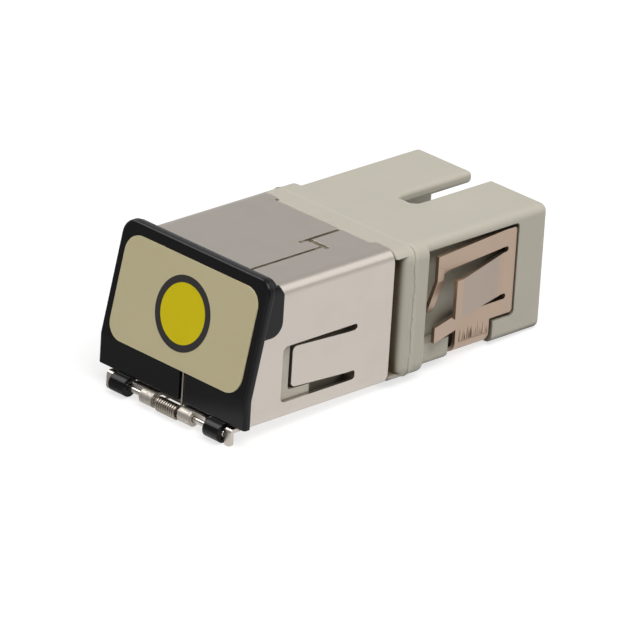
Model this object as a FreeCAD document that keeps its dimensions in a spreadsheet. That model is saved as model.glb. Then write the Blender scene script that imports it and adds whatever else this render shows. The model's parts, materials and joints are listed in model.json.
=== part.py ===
"""Simplex fibre coupler with a sprung shutter, in millimetres.

X runs across the coupler, Y runs along the optical axis to the open rear port and Z is up.
The origin lies on the optical axis, in the plane where the two housing halves are welded.
"""
import FreeCAD, Part

import math
import os
from enum import IntEnum
from types import SimpleNamespace

import Sketcher

PARTS_FOLDER = "parts"
SHEET_NAME = "Sizes"
EDGE_TOLERANCE = 0.001
QUARTER_TURN = 0.25
SIDES = (-1, 1)


class CurvePoint(IntEnum):
    """Number of a point on a curve of a sketch."""

    START = 1
    END = 2
    CENTRE = 3


class SketchOrigin(IntEnum):
    """Numbers that name a sketch's own origin."""

    CURVE = -1
    POINT = 1


class End(IntEnum):
    """End of the coupler, as the sign of its place along the optical axis."""

    REAR = 1
    FRONT = -1


# Driving dimensions: the name of each cell, its value and what it measures.
SIZES = (
    ("body_width", 12.8, "housing, outer width"),
    ("body_height", 9.2, "housing, outer height"),
    ("rear_length", 13.4, "weld plane to the rear housing's end"),
    ("housing_gap", 0.13, "door's back to the front housing's end"),
    ("body_edge_radius", 0.55, "long edges of the housing"),
    ("rim_radius", 0.35, "rounding of the port's rim and of the key slot"),
    ("port_width", 9.0, "plug port, inner width"),
    ("port_height", 7.4, "plug port, inner height"),
    ("key_slot_width", 1.75, "key slot in the top wall"),
    ("key_slot_start", 6.0, "weld plane to the closed end of the key slot"),
    ("key_slot_radius", 0.5, "inner corners of the key slot"),
    ("slot_mouth_radius", 0.3, "upright corners of the key slot at its open end"),
    ("collar_width", 13.94, "collar, outer width"),
    ("collar_height", 9.66, "collar, outer height"),
    ("collar_rib", 1.6, "collar, length of the rear half's rib"),
    ("front_rib", 1.5, "collar, length of the front half's rib"),
    ("collar_radius", 1.0, "long edges of the collar"),
    ("collar_rim_radius", 0.22, "outer rim of each rib"),
    ("weld_bevel", 0.1, "bevel of each rib at the weld"),
    ("relief_start", 0.8, "side relief of the front rib, from the weld plane"),
    ("relief_depth", 0.7, "side relief of the front rib, below the housing's side"),
    ("relief_level", 4.3, "side relief of the front rib, half of its height"),
    ("relief_radius", 0.5, "edge of the front rib at its side relief"),
    ("lip_gap", 0.1, "lip of the front rib to the shield's set-back edge"),
    ("recess_depth", 1.0, "side recess below the housing's side"),
    ("recess_top", 3.9, "side recess, upper edge above the axis"),
    ("recess_bottom", 2.95, "side recess, lower edge below the axis"),
    ("recess_length", 9.1, "side recess, length"),
    ("recess_radius", 0.3, "upright corners of the side recess"),
    ("strap_notch_start", 2.83, "strap notch from the start of the recess"),
    ("strap_notch_width", 4.27, "strap notch along the housing"),
    ("strap_channel_depth", 0.36, "strap channel across the bottom"),
    ("flange_width", 10.3, "latch insert flange, width"),
    ("flange_height", 7.9, "latch insert flange, height"),
    ("flange_thickness", 1.5, "latch insert flange, thickness"),
    ("flange_clearance", 0.05, "gap round the flange in its seat"),
    ("holder_diameter", 4.6, "sleeve holder, outer diameter"),
    ("holder_lip", 0.45, "lip that keeps the sleeve in its holder"),
    ("holder_mouth", 2.9, "hole through the lip"),
    ("hook_reach", 8.4, "weld plane to the latch hook's tip"),
    ("hook_thickness", 0.8, "latch hook, beam thickness"),
    ("hook_height", 3.8, "latch hook, beam height"),
    ("hook_gap", 0.25, "room behind the latch hook to bend"),
    ("hook_barb", 0.6, "latch hook, how far the barb stands in"),
    ("hook_barb_length", 0.9, "latch hook, length of the barb"),
    ("sleeve_bore", 2.5, "alignment sleeve, ferrule bore"),
    ("sleeve_diameter", 3.2, "alignment sleeve, outer diameter"),
    ("sleeve_length", 11.4, "alignment sleeve, length"),
    ("sleeve_slit", 0.5, "alignment sleeve, slit"),
    ("sleeve_clearance", 0.015, "radial float of the sleeve in its holder"),
    ("sleeve_end_play", 0.05, "end play of the sleeve at each lip"),
    ("sheet", 0.28, "steel sheet of the shield"),
    ("shield_width", 13.43, "shield, outer width"),
    ("shield_height", 9.9, "shield, outer height"),
    ("shield_bend", 0.95, "shield, outer bend radius"),
    ("shield_gap", 0.06, "shield's rear edge to the collar"),
    ("rear_edge_step", 0.39, "how far the top's rear edge is set back"),
    ("rear_edge_span", 9.4, "width of the set-back rear edge"),
    ("rear_edge_radius", 0.18, "corners of the set-back rear edge and of the seam's end"),
    ("seam_front_at", 3.2, "front run of the seam, right of the middle"),
    ("seam_front_gap", 0.26, "front run of the seam, width"),
    ("seam_rear_at", 1.75, "rear run of the seam, right of the middle"),
    ("seam_rear_gap", 0.3, "rear run of the seam, width"),
    ("seam_step_from_rear", 3.19, "step of the seam from the rear edge"),
    ("seam_step_gap", 0.42, "step of the seam, width"),
    ("seam_step_past", 0.35, "step of the seam past its front run"),
    ("seam_rear_past", 0.6, "rear run of the seam past the step"),
    ("tab_root_from_rear", 3.19, "root of the side tab from the rear edge"),
    ("tab_length", 5.5, "side tab from its root to its tip"),
    ("tab_top", 0.09, "side tab, upper edge above the axis"),
    ("tab_height", 2.97, "side tab, height"),
    ("tab_slot_above", 0.44, "slot above the side tab"),
    ("tab_slot_below", 0.66, "slot below the side tab"),
    ("tab_window_ahead", 1.35, "window ahead of the side tab's tip"),
    ("tab_straight", 0.8, "flat root of the side tab"),
    ("tab_bend_in", 0.46, "how far the side tab's tip stands in"),
    ("window_radius", 0.4, "front corners of the tab's window"),
    ("tab_radius", 0.35, "corners of the side tab's tip"),
    ("tab_slot_radius", 0.2, "ends of the slots beside the tab"),
    ("dimple_radius", 0.4, "dimple under the shield"),
    ("dimple_height", 0.15, "dimple below the plate"),
    ("dimple_crown", 0.13, "rounding of the dimple's crown"),
    ("dimple_from_side", 1.4, "dimple from the shield's side"),
    ("dimple_from_rear", 8.89, "dimple from the shield's rear edge"),
    ("pin_diameter", 0.44, "hinge pin"),
    ("pin_length", 10.8, "hinge pin"),
    ("pin_end_radius", 0.08, "rounding of the pin's ends"),
    ("pin_ahead", 0.05, "hinge axis ahead of the door's lower band"),
    ("pin_roll_gap", 0.04, "radial gap of the pin in the steel knuckles"),
    ("pin_running_gap", 0.03, "radial gap of the pin in the door's knuckles"),
    ("coil_side_gap", 0.24, "coil's end to the steel knuckle"),
    ("knuckle_width", 1.15, "steel knuckle, width"),
    ("knuckle_roll_gap", 0.14, "open seam of the rolled knuckle"),
    ("plate_tab_width", 1.15, "plate tab beside each steel knuckle"),
    ("plate_tab_ahead", 0.1, "plate tab ahead of the hinge axis"),
    ("ear_width", 0.6, "bent-down ear, width"),
    ("ear_drop", 0.95, "bent-down ear below the plate"),
    ("ear_ahead", 0.13, "ear's face ahead of the hinge axis"),
    ("ear_gap", 0.1, "pin's end to the ear"),
    ("ear_radius", 0.18, "lower corners of the ear"),
    ("door_reach", 15.27, "weld plane to the front of the door's lower band"),
    ("door_width", 14.36, "door, outer width"),
    ("door_wall", 0.5, "door, wall thickness"),
    ("door_band", 2.12, "door's upright lower band, height"),
    ("door_face", 8.28, "door's slanted face, length"),
    ("door_tilt", 12.33, "door's slanted face, degrees from upright"),
    ("door_gap", 0.1, "hood and cheeks to the shield"),
    ("mouth_gap", 0.03, "door's back to the shield's mouth"),
    ("door_rise", 0.23, "door's lower edge above the plate"),
    ("hood_depth", 0.8, "hood over the shield's mouth, depth"),
    ("hood_inset", 0.12, "hood and cheeks inside the outline of the door's face"),
    ("cheek_depth", 1.36, "cheek beside the shield, depth at the top"),
    ("cheek_height", 4.07, "cheek from the top of the door"),
    ("cheek_slope", 1.03, "cheek's slanted corner behind the hood, height"),
    ("cheek_radius", 1.0, "lower rear corner of the cheek"),
    ("door_corner_radius", 1.1, "upper corners of the door"),
    ("door_edge_radius", 0.22, "front edges of the door"),
    ("door_knuckle_diameter", 1.34, "door knuckle, outer diameter"),
    ("door_knuckle_width", 1.42, "door knuckle, width"),
    ("knuckle_side_gap", 0.16, "door knuckle to the ear"),
    ("knuckle_clearance", 0.15, "plate to the door's knuckle"),
    ("groove_width", 0.5, "groove for the spring's leg"),
    ("groove_depth", 0.3, "groove for the spring's leg"),
    ("groove_past_band", 0.42, "groove above the lower band"),
    ("label_width", 12.86, "label"),
    ("label_length", 7.42, "label, along the slanted face"),
    ("label_start", 0.06, "label above the lower band"),
    ("label_thickness", 0.1, "label"),
    ("label_radius", 1.3, "corners of the label"),
    ("wire", 0.18, "torsion spring, wire diameter"),
    ("coil_mean_radius", 0.43, "torsion spring, mean radius"),
    ("coil_pin_gap", 0.01, "top of the hanging coil to the pin"),
    ("coil_pitch", 0.21, "torsion spring, pitch"),
    ("coil_turns", 9.0, "torsion spring, whole turns"),
    ("door_leg_back", 0.22, "door leg behind the hinge axis"),
    ("door_leg_past_band", 0.3, "door leg above the lower band"),
    ("plate_leg", 2.2, "plate leg from the hinge axis"),
    ("leg_gap", 0.01, "plate leg below the plate"),
    ("coil_plate_gap", 0.04, "plate's middle edge to the coil"),
    ("clip_sheet", 0.3, "panel clip, sheet"),
    ("clip_inset", 0.1, "panel clip below the housing's side"),
    ("clip_edge_gap", 0.1, "clip's rear edge to the end of the recess"),
    ("clip_bottom_inset", 0.03, "strap below the housing's bottom"),
    ("clip_top", 3.62, "clip's upper edge above the axis"),
    ("clip_bottom", 2.7, "clip's lower edge below the axis"),
    ("clip_bar", 0.73, "clip's rear bar, width"),
    ("clip_corner_radius", 0.25, "rear corners of the clip"),
    ("clip_slot", 0.4, "slots beside the tongue"),
    ("clip_slot_radius", 0.19, "round ends of the slots"),
    ("tongue_top", 1.95, "tongue, upper edge above the axis"),
    ("tongue_height", 3.1, "tongue, height"),
    ("tongue_length", 6.3, "tongue from the rear bar"),
    ("tongue_flat", 0.6, "flattened tip of the tongue"),
    ("tongue_taper", 0.13, "how far each edge of the tongue draws in at its tip"),
    ("tongue_stand", 1.45, "tongue's tip, how far it stands out"),
    ("bend_start", 0.4, "flat start of the arms and tongue at the bar"),
    ("upper_arm_length", 7.53, "upper arm from the rear bar"),
    ("upper_arm_stand", 0.75, "upper arm's end, how far it stands out"),
    ("lower_arm_length", 7.55, "lower arm from the rear bar"),
    ("lower_arm_stand", 0.8, "lower arm's end, how far it stands out"),
    ("arm_leg_width", 0.6, "leg at the end of the upper arm"),
    ("arm_leg_drop", 3.1, "leg below the upper arm"),
    ("arm_leg_in", 0.85, "leg's tip, how far it leans in"),
    ("arm_gusset", 0.55, "hollow corner between the upper arm and its leg, radius"),
    ("strap_width", 3.25, "strap under the housing"),
    ("strap_play", 0.77, "strap from the front of its notch"),
    ("strap_bend", 0.9, "strap, outer bend radius"),
)


class Size:
    """A dimension known both as a number and as the sheet formula that drives it."""

    def __init__(self, text, value):
        self.text = text
        self.value = value

    def combine(self, sign, other, value):
        return Size(f"({self.text} {sign} {other.text})", value)

    def __add__(self, other):
        other = as_size(other)
        return self.combine("+", other, self.value + other.value)

    def __sub__(self, other):
        other = as_size(other)
        return self.combine("-", other, self.value - other.value)

    def __mul__(self, other):
        other = as_size(other)
        return self.combine("*", other, self.value * other.value)

    def __truediv__(self, other):
        other = as_size(other)
        return self.combine("/", other, self.value / other.value)

    def __neg__(self):
        return Size(f"(0 - {self.text})", -self.value)


def as_size(item):
    """Return the item as a Size; a plain number becomes a fixed one."""
    if isinstance(item, Size):
        return item
    return Size(f"({float(item)})", float(item))


def sine(angle):
    return Size(f"sin({angle.text})", math.sin(math.radians(angle.value)))


def cosine(angle):
    return Size(f"cos({angle.text})", math.cos(math.radians(angle.value)))


def tangent(angle):
    return Size(f"tan({angle.text})", math.tan(math.radians(angle.value)))


def whole(amount):
    """Return a size rounded to a whole number."""
    return Size(f"round({amount.text})", float(round(amount.value)))


def fill_sheet(document):
    """Write the driving dimensions to a sheet and return them by name."""
    sheet = document.addObject("Spreadsheet::Sheet", SHEET_NAME)
    named = {}
    for row, (alias, value, meaning) in enumerate(SIZES, start=1):
        sheet.set(f"A{row}", meaning)
        sheet.set(f"B{row}", str(value))
        sheet.setAlias(f"B{row}", alias)
        named[alias] = Size(f"{SHEET_NAME}.{alias}", value)
    document.recompute()
    return SimpleNamespace(**named)


document = FreeCAD.newDocument("coupler")
size = fill_sheet(document)
zero = as_size(0)
bodies = []


def new_body(label):
    """Start a sub-part whose label names its file."""
    body = document.addObject("PartDesign::Body", label)
    body.Label = label
    bodies.append(body)
    return body


def place(body, x=zero, y=zero, z=zero):
    """Bind a body's own origin to a point of the coupler's frame."""
    body.Placement = FreeCAD.Placement(FreeCAD.Vector(x.value, y.value, z.value), FreeCAD.Rotation())
    for axis, where in (("x", x), ("y", y), ("z", z)):
        body.setExpression(f"Placement.Base.{axis}", where.text)


def pin_down(sketch, curve, point, x, y):
    """Dimension one point of a sketch from the sketch's origin."""
    for kind, where in (("DistanceX", x), ("DistanceY", y)):
        rule = Sketcher.Constraint(kind, SketchOrigin.CURVE, SketchOrigin.POINT, curve, point, where.value)
        number = sketch.addConstraint(rule)
        sketch.setExpression(f"Constraints[{number}]", where.text)


def polygon(points):
    """Return a drawing of a closed outline with a corner at each pair of sizes."""
    points = [(as_size(x), as_size(y)) for x, y in points]

    def draw(sketch):
        corners = [FreeCAD.Vector(x.value, y.value, 0) for x, y in points]
        for here, there in zip(corners, corners[1:] + corners[:1]):
            sketch.addGeometry(Part.LineSegment(here, there), False)
        for line in range(len(points)):
            follower = (line + 1) % len(points)
            ends = (line, CurvePoint.END, follower, CurvePoint.START)
            sketch.addConstraint(Sketcher.Constraint("Coincident", *ends))
        for line, (x, y) in enumerate(points):
            pin_down(sketch, line, CurvePoint.START, x, y)

    return draw


def rectangle(left, right, low, high):
    """Return a drawing of an upright rectangle."""
    return polygon([(left, low), (right, low), (right, high), (left, high)])


def centred(width, height):
    """Return a drawing of a rectangle centred on the sketch's origin."""
    return rectangle(-width / 2, width / 2, -height / 2, height / 2)


def circle(x, y, radius):
    """Return a drawing of a circle."""

    def draw(sketch):
        centre = FreeCAD.Vector(x.value, y.value, 0)
        ring = Part.Circle(centre, FreeCAD.Vector(0, 0, 1), radius.value)
        curve = sketch.addGeometry(ring, False)
        pin_down(sketch, curve, CurvePoint.CENTRE, x, y)
        number = sketch.addConstraint(Sketcher.Constraint("Radius", curve, radius.value))
        sketch.setExpression(f"Constraints[{number}]", radius.text)

    return draw


def sketch_at(body, name, axis, level, draw):
    """Draw an outline square to an axis, at the given level along it."""
    roles = {"x": "YZ_Plane", "y": "XZ_Plane", "z": "XY_Plane"}
    plane = next(item for item in body.Origin.OriginFeatures if item.Role == roles[axis])
    sketch = body.newObject("Sketcher::SketchObject", name)
    sketch.AttachmentSupport = [(plane, "")]
    sketch.MapMode = "FlatFace"
    # The upright plane across Y faces the front, so levels along Y count backwards there.
    offset = -level if axis == "y" else level
    sketch.setExpression("AttachmentOffset.Base.z", offset.text)
    draw(sketch)
    return sketch


def extrude(body, name, axis, ends, draw, cut=False):
    """Add an outline extruded between two levels along an axis, or cut it away."""
    low, high = sorted((as_size(end) for end in ends), key=lambda end: end.value)
    level = high if axis == "y" else low
    sketch = sketch_at(body, f"{name}_outline", axis, level, draw)
    before = body.Shape.Volume if cut else None
    feature = body.newObject("PartDesign::Pocket" if cut else "PartDesign::Pad", name)
    feature.Profile = sketch
    feature.Reversed = cut
    feature.setExpression("Length", (high - low).text)
    document.recompute()
    if cut and not body.Shape.Volume < before:
        raise RuntimeError(f"{name} cuts nothing")
    return feature


def cut_away(body, name, axis, ends, draw):
    """Cut an outline away between two levels along an axis."""
    return extrude(body, name, axis, ends, draw, cut=True)


def samples_of(edge):
    """Return the two ends and the middle of an edge."""
    first, last = edge.ParameterRange
    return [edge.valueAt(first + (last - first) * share) for share in (0.0, 0.5, 1.0)]


def lies_at(edge, places):
    """Tell whether an edge lies at the given coordinates, signs aside, or passes the given test."""
    if callable(places):
        return places(edge)
    return all(
        abs(abs(getattr(sample, axis)) - abs(where.value)) < EDGE_TOLERANCE
        for sample in samples_of(edge)
        for axis, where in places.items()
    )


def dress_edges(body, kind, name, amount_name, amount, *choices):
    """Round or bevel the edges that lie at any of the given sets of coordinates."""
    base = body.Tip
    picked = [
        f"Edge{number}"
        for number, edge in enumerate(base.Shape.Edges, start=1)
        if any(lies_at(edge, places) for places in choices)
    ]
    if not picked:
        raise RuntimeError(f"{name} finds no edge")
    feature = body.newObject(kind, name)
    feature.Base = (base, picked)
    feature.setExpression(amount_name, amount.text)
    document.recompute()
    return feature


def round_edges(body, name, radius, *choices):
    """Round the chosen edges."""
    return dress_edges(body, "PartDesign::Fillet", name, "Radius", radius, *choices)


def bevel_edges(body, name, width, *choices):
    """Bevel the chosen edges."""
    return dress_edges(body, "PartDesign::Chamfer", name, "Size", width, *choices)


def mirrored(points):
    """Continue a run of points with its mirror image in the first coordinate."""
    return points + [(-as_size(x), y) for x, y in reversed(points)]


half_width = size.body_width / 2
half_height = size.body_height / 2


def make_housing(label, end, rib, tip):
    """Build and return a moulded half with a rib of the given length; end says which half it is."""
    body = new_body(label)
    collar_face = rib * end
    margin = size.body_height

    extrude(body, f"{label}_block", "y", (0, tip), centred(size.body_width, size.body_height))
    round_edges(body, f"{label}_long_edges", size.body_edge_radius, {"x": half_width, "z": half_height})
    extrude(body, f"{label}_collar", "y", (0, collar_face), centred(size.collar_width, size.collar_height))
    collar_corner = {"x": size.collar_width / 2, "z": size.collar_height / 2}
    round_edges(body, f"{label}_collar_edges", size.collar_radius, collar_corner)
    bevel_edges(body, f"{label}_weld_bevel", size.weld_bevel, {"y": zero})
    round_edges(
        body, f"{label}_collar_rim", size.collar_rim_radius,
        {"y": collar_face, "x": size.collar_width / 2},
        {"y": collar_face, "z": size.collar_height / 2},
    )

    seat_width = size.flange_width + size.flange_clearance * 2
    seat_height = size.flange_height + size.flange_clearance * 2
    seat_end = size.flange_thickness * end
    cut_away(body, f"{label}_seat", "y", (0, seat_end), centred(seat_width, seat_height))
    cut_away(body, f"{label}_port", "y", (seat_end, tip), centred(size.port_width, size.port_height))

    slot_end = size.key_slot_start * end
    slot_side = size.key_slot_width / 2
    slot = rectangle(-slot_side, slot_side, slot_end, tip + margin * end)
    cut_away(body, f"{label}_key_slot", "z", (0, margin), slot)
    round_edges(body, f"{label}_slot_corners", size.key_slot_radius, {"x": slot_side, "y": slot_end})
    round_edges(body, f"{label}_slot_mouth", size.slot_mouth_radius, {"x": slot_side, "y": tip})
    round_edges(
        body, f"{label}_rim", size.rim_radius,
        {"y": tip},
        {"x": slot_side, "z": half_height},
        {"x": slot_side, "z": size.port_height / 2},
    )

    near = size.collar_rib * end
    far = near + size.recess_length * end
    notch_near = near + size.strap_notch_start * end
    notch_far = notch_near + size.strap_notch_width * end
    floor = half_width - size.recess_depth
    outline = polygon([
        (near, size.recess_top),
        (far, size.recess_top),
        (far, -size.recess_bottom),
        (notch_far, -size.recess_bottom),
        (notch_far, -margin),
        (notch_near, -margin),
        (notch_near, -size.recess_bottom),
        (near, -size.recess_bottom),
    ])
    for side, name in zip(SIDES, ("left", "right")):
        cut_away(body, f"{label}_{name}_recess", "x", (floor * side, half_width * side), outline)
    round_edges(
        body, f"{label}_recess_corners", size.recess_radius,
        {"y": far, "z": size.recess_top},
        {"y": far, "z": size.recess_bottom},
    )
    channel = rectangle(-half_width, half_width, notch_near, notch_far)
    channel_floor = size.strap_channel_depth - half_height
    cut_away(body, f"{label}_strap_channel", "z", (-half_height, channel_floor), channel)
    return body


def make_latch_insert(label, end):
    """Build the flange, half of the sleeve holder and the two latch hooks."""
    body = new_body(label)
    flange_face = size.flange_thickness * end
    bore_end = (size.sleeve_length / 2 + size.sleeve_end_play) * end
    holder_end = bore_end + size.holder_lip * end
    hook_end = size.hook_reach * end
    barb_start = hook_end - size.hook_barb_length * end
    hook_back = size.port_width / 2 - size.hook_gap
    hook_front = hook_back - size.hook_thickness
    bore_radius = size.sleeve_diameter / 2 + size.sleeve_clearance

    extrude(body, f"{label}_flange", "y", (0, flange_face), centred(size.flange_width, size.flange_height))
    extrude(body, f"{label}_holder", "y", (0, holder_end), circle(zero, zero, size.holder_diameter / 2))
    for side, name in zip(SIDES, ("left", "right")):
        hook = polygon([
            (hook_back * side, flange_face / 2),
            (hook_back * side, hook_end),
            (hook_front * side, hook_end),
            ((hook_front - size.hook_barb) * side, barb_start),
            (hook_front * side, barb_start),
            (hook_front * side, flange_face / 2),
        ])
        extrude(body, f"{label}_{name}_hook", "z", (-size.hook_height / 2, size.hook_height / 2), hook)
    cut_away(body, f"{label}_bore", "y", (0, bore_end), circle(zero, zero, bore_radius))
    mouth = circle(zero, zero, size.holder_mouth / 2)
    cut_away(body, f"{label}_mouth", "y", (bore_end, holder_end), mouth)


def make_alignment_sleeve():
    """Build the split ceramic sleeve."""
    body = new_body("alignment_sleeve")
    ends = (-size.sleeve_length / 2, size.sleeve_length / 2)
    extrude(body, "sleeve_tube", "y", ends, circle(zero, zero, size.sleeve_diameter / 2))
    cut_away(body, "sleeve_bore", "y", ends, circle(zero, zero, size.sleeve_bore / 2))
    slit = rectangle(-size.sleeve_slit / 2, size.sleeve_slit / 2, zero, size.sleeve_diameter)
    cut_away(body, "sleeve_slit", "y", ends, slit)


# The shield's faces, and the hinge axis that its rolled knuckles set.
shield_side = size.shield_width / 2
shield_level = size.shield_height / 2
shield_rear = -(size.front_rib + size.shield_gap)
plate_top = size.sheet - shield_level
knuckle_radius = size.pin_diameter / 2 + size.pin_roll_gap + size.sheet
hinge_y = -(size.door_reach + size.pin_ahead)
hinge_z = plate_top - knuckle_radius

# The coil, from the plate leg behind the axis to the door leg above it, and the knuckles beside it.
wire_radius = size.wire / 2
coil_turns = whole(size.coil_turns) + QUARTER_TURN
coil_end = size.coil_pitch * coil_turns / 2
knuckle_inner = coil_end + wire_radius + size.coil_side_gap

# The door's faces.
door_front = -size.door_reach
door_bottom = plate_top + size.door_rise
kink_z = door_bottom + size.door_band
door_top = kink_z + size.door_face * cosine(size.door_tilt)
door_top_front = door_front + size.door_face * sine(size.door_tilt)


def fit_to_shield(body):
    """Relieve the front rib's sides and raise the lip that fills the shield's set-back rear edge."""
    collar_side = size.collar_width / 2
    floor = half_width - size.relief_depth
    relief = rectangle(-size.collar_rib, -size.relief_start, -size.relief_level, size.relief_level)
    for side, name in zip(SIDES, ("left", "right")):
        cut_away(body, f"front_housing_{name}_relief", "x", (floor * side, collar_side * side), relief)
    relief_edge = {"x": collar_side, "y": size.relief_start}
    round_edges(body, "front_housing_relief_edges", size.relief_radius, relief_edge)
    lip_face = shield_rear - size.rear_edge_step + size.lip_gap
    lip_side = size.rear_edge_span / 2 - size.lip_gap
    lip = rectangle(-lip_side, lip_side, lip_face, -size.relief_start)
    extrude(body, "front_housing_lip", "z", (half_height, size.collar_height / 2), lip)


def kink_behind(depth):
    """Return the point of the door's bend, that far behind its front."""
    return door_front + depth, kink_z - depth * tangent(size.door_tilt / 2)


def slant_behind(depth, level):
    """Return the point at a level on the slant that far behind the door's face."""
    bend_y, bend_z = kink_behind(depth)
    return bend_y + (level - bend_z) * tangent(size.door_tilt), level


def make_shield():
    """Build the folded steel sleeve with its hinge plate."""
    body = new_body("shield")
    mouth_depth = size.door_wall + size.mouth_gap
    mouth_y, mouth_z = kink_behind(mouth_depth)

    sleeve = centred(size.shield_width, size.shield_height)
    extrude(body, "shield_sleeve", "y", (mouth_y, shield_rear), sleeve)
    round_edges(body, "shield_bends", size.shield_bend, {"x": shield_side, "z": shield_level})
    inner_width = size.shield_width - size.sheet * 2
    inner_height = size.shield_height - size.sheet * 2
    cut_away(body, "shield_hollow", "y", (mouth_y, shield_rear), centred(inner_width, inner_height))
    inner_corner = {"x": inner_width / 2, "z": inner_height / 2}
    round_edges(body, "shield_inner_bends", size.shield_bend - size.sheet, inner_corner)
    slant = polygon([
        (mouth_y, mouth_z),
        slant_behind(mouth_depth, shield_level + size.sheet),
        (mouth_y, shield_level + size.sheet),
    ])
    cut_away(body, "shield_slanted_mouth", "x", (-shield_side, shield_side), slant)
    cut_top_seam(body)
    cut_side_tabs(body)
    add_hinge_plate(body, mouth_y)
    add_dimples(body)


def cut_top_seam(body):
    """Cut the stepped seam and the set-back rear edge in the shield's top."""
    top = (shield_level - size.sheet * 2, shield_level + size.sheet)
    step_far = shield_rear - size.seam_step_from_rear
    step_near = step_far - size.seam_step_gap
    front_left = size.seam_front_at - size.seam_front_gap / 2
    front_right = size.seam_front_at + size.seam_front_gap / 2
    rear_left = size.seam_rear_at - size.seam_rear_gap / 2
    rear_right = size.seam_rear_at + size.seam_rear_gap / 2
    front_run = rectangle(front_left, front_right, door_front, step_far)
    step = rectangle(rear_left, front_right + size.seam_step_past, step_near, step_far)
    rear_run = rectangle(rear_left, rear_right, step_near - size.seam_rear_past, zero)
    cut_away(body, "shield_seam_front", "z", top, front_run)
    cut_away(body, "shield_seam_step", "z", top, step)
    cut_away(body, "shield_seam_rear", "z", top, rear_run)
    rear_side = size.rear_edge_span / 2
    set_back = shield_rear - size.rear_edge_step
    cut_away(body, "shield_rear_edge", "z", top, rectangle(-rear_side, rear_side, set_back, zero))
    round_edges(
        body, "shield_rear_corners", size.rear_edge_radius,
        {"x": rear_side, "y": shield_rear},
        {"x": rear_side, "y": set_back},
        {"x": rear_left, "y": set_back},
        {"x": rear_right, "y": set_back},
    )


def cut_side_tabs(body):
    """Cut the window of each side tab and fold the tab into it."""
    root = shield_rear - size.tab_root_from_rear
    tip = root - size.tab_length
    window_front = tip - size.tab_window_ahead
    tab_bottom = size.tab_top - size.tab_height
    window_top = size.tab_top + size.tab_slot_above
    window_bottom = tab_bottom - size.tab_slot_below
    inner = shield_side - size.sheet
    window = rectangle(window_front, root, window_bottom, window_top)
    for side, name in zip(SIDES, ("left", "right")):
        ends = (inner * side, shield_side * side)
        cut_away(body, f"shield_{name}_window", "x", ends, window)
    round_edges(
        body, "shield_window_corners", size.window_radius,
        {"y": window_front, "z": window_top},
        {"y": window_front, "z": window_bottom},
    )
    bend = root - size.tab_straight
    for side, name in zip(SIDES, ("left", "right")):
        strip = polygon([
            (inner * side, root + size.sheet),
            (shield_side * side, root + size.sheet),
            (shield_side * side, bend),
            ((shield_side - size.tab_bend_in) * side, tip),
            ((inner - size.tab_bend_in) * side, tip),
            (inner * side, bend),
        ])
        extrude(body, f"shield_{name}_tab", "z", (tab_bottom, size.tab_top), strip)
    round_edges(
        body, "shield_tab_corners", size.tab_radius,
        {"y": tip, "z": size.tab_top},
        {"y": tip, "z": tab_bottom},
    )
    round_edges(
        body, "shield_tab_slots", size.tab_slot_radius,
        {"y": root, "z": window_top},
        {"y": root, "z": size.tab_top},
        {"y": root, "z": tab_bottom},
        {"y": root, "z": window_bottom},
    )


def add_hinge_plate(body, mouth_y):
    """Add the plate ahead of the mouth, its rolled knuckles and its ears."""
    plate_bottom = -shield_level
    knuckle_outer = knuckle_inner + size.knuckle_width
    tab_outer = knuckle_outer + size.plate_tab_width
    ear_inner = size.pin_length / 2 + size.ear_gap
    ear_outer = ear_inner + size.ear_width
    ear_front = hinge_y - size.ear_ahead
    ear_bottom = plate_bottom - size.ear_drop
    coil_edge = hinge_y + size.coil_mean_radius + wire_radius + size.coil_plate_gap
    notch_edge = hinge_y + size.door_knuckle_diameter / 2 + size.knuckle_clearance
    tab_front = hinge_y - size.plate_tab_ahead
    overlap = mouth_y + size.shield_bend

    plate = polygon(mirrored([
        (knuckle_inner, coil_edge),
        (knuckle_inner, hinge_y),
        (knuckle_outer, hinge_y),
        (knuckle_outer, tab_front),
        (tab_outer, tab_front),
        (tab_outer, notch_edge),
        (ear_inner, notch_edge),
        (ear_inner, ear_front),
        (ear_outer, ear_front),
        (ear_outer, overlap),
    ]))
    extrude(body, "shield_plate", "z", (plate_bottom, plate_top), plate)
    bore = circle(hinge_y, hinge_z, knuckle_radius - size.sheet)
    roll_end = plate_bottom - size.knuckle_roll_gap
    roll_gap = rectangle(hinge_y, hinge_y + knuckle_radius, roll_end, plate_bottom)
    ear = rectangle(ear_front, ear_front + size.sheet, ear_bottom, plate_top)
    notch = rectangle(mouth_y, notch_edge, plate_bottom, plate_top)
    for side, name in zip(SIDES, ("left", "right")):
        knuckle_ends = (knuckle_inner * side, knuckle_outer * side)
        roll = circle(hinge_y, hinge_z, knuckle_radius)
        extrude(body, f"shield_{name}_knuckle", "x", knuckle_ends, roll)
        cut_away(body, f"shield_{name}_knuckle_bore", "x", knuckle_ends, bore)
        cut_away(body, f"shield_{name}_knuckle_gap", "x", knuckle_ends, roll_gap)
        extrude(body, f"shield_{name}_ear", "x", (ear_inner * side, ear_outer * side), ear)
        cut_away(body, f"shield_{name}_notch", "x", (tab_outer * side, ear_inner * side), notch)
    round_edges(body, "shield_ear_bends", size.sheet, {"y": ear_front, "z": plate_top})
    round_edges(
        body, "shield_ear_corners", size.ear_radius,
        {"x": ear_inner, "z": ear_bottom},
        {"x": ear_outer, "z": ear_bottom},
    )


def add_dimples(body):
    """Add the small dimples under the shield."""
    low = -(shield_level + size.dimple_height)
    across = shield_side - size.dimple_from_side
    along = shield_rear - size.dimple_from_rear
    for side, name in zip(SIDES, ("left", "right")):
        disc = circle(across * side, along, size.dimple_radius)
        extrude(body, f"shield_{name}_dimple", "z", (low, -shield_level), disc)
    round_edges(body, "shield_dimple_crowns", size.dimple_crown, {"z": low})


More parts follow.
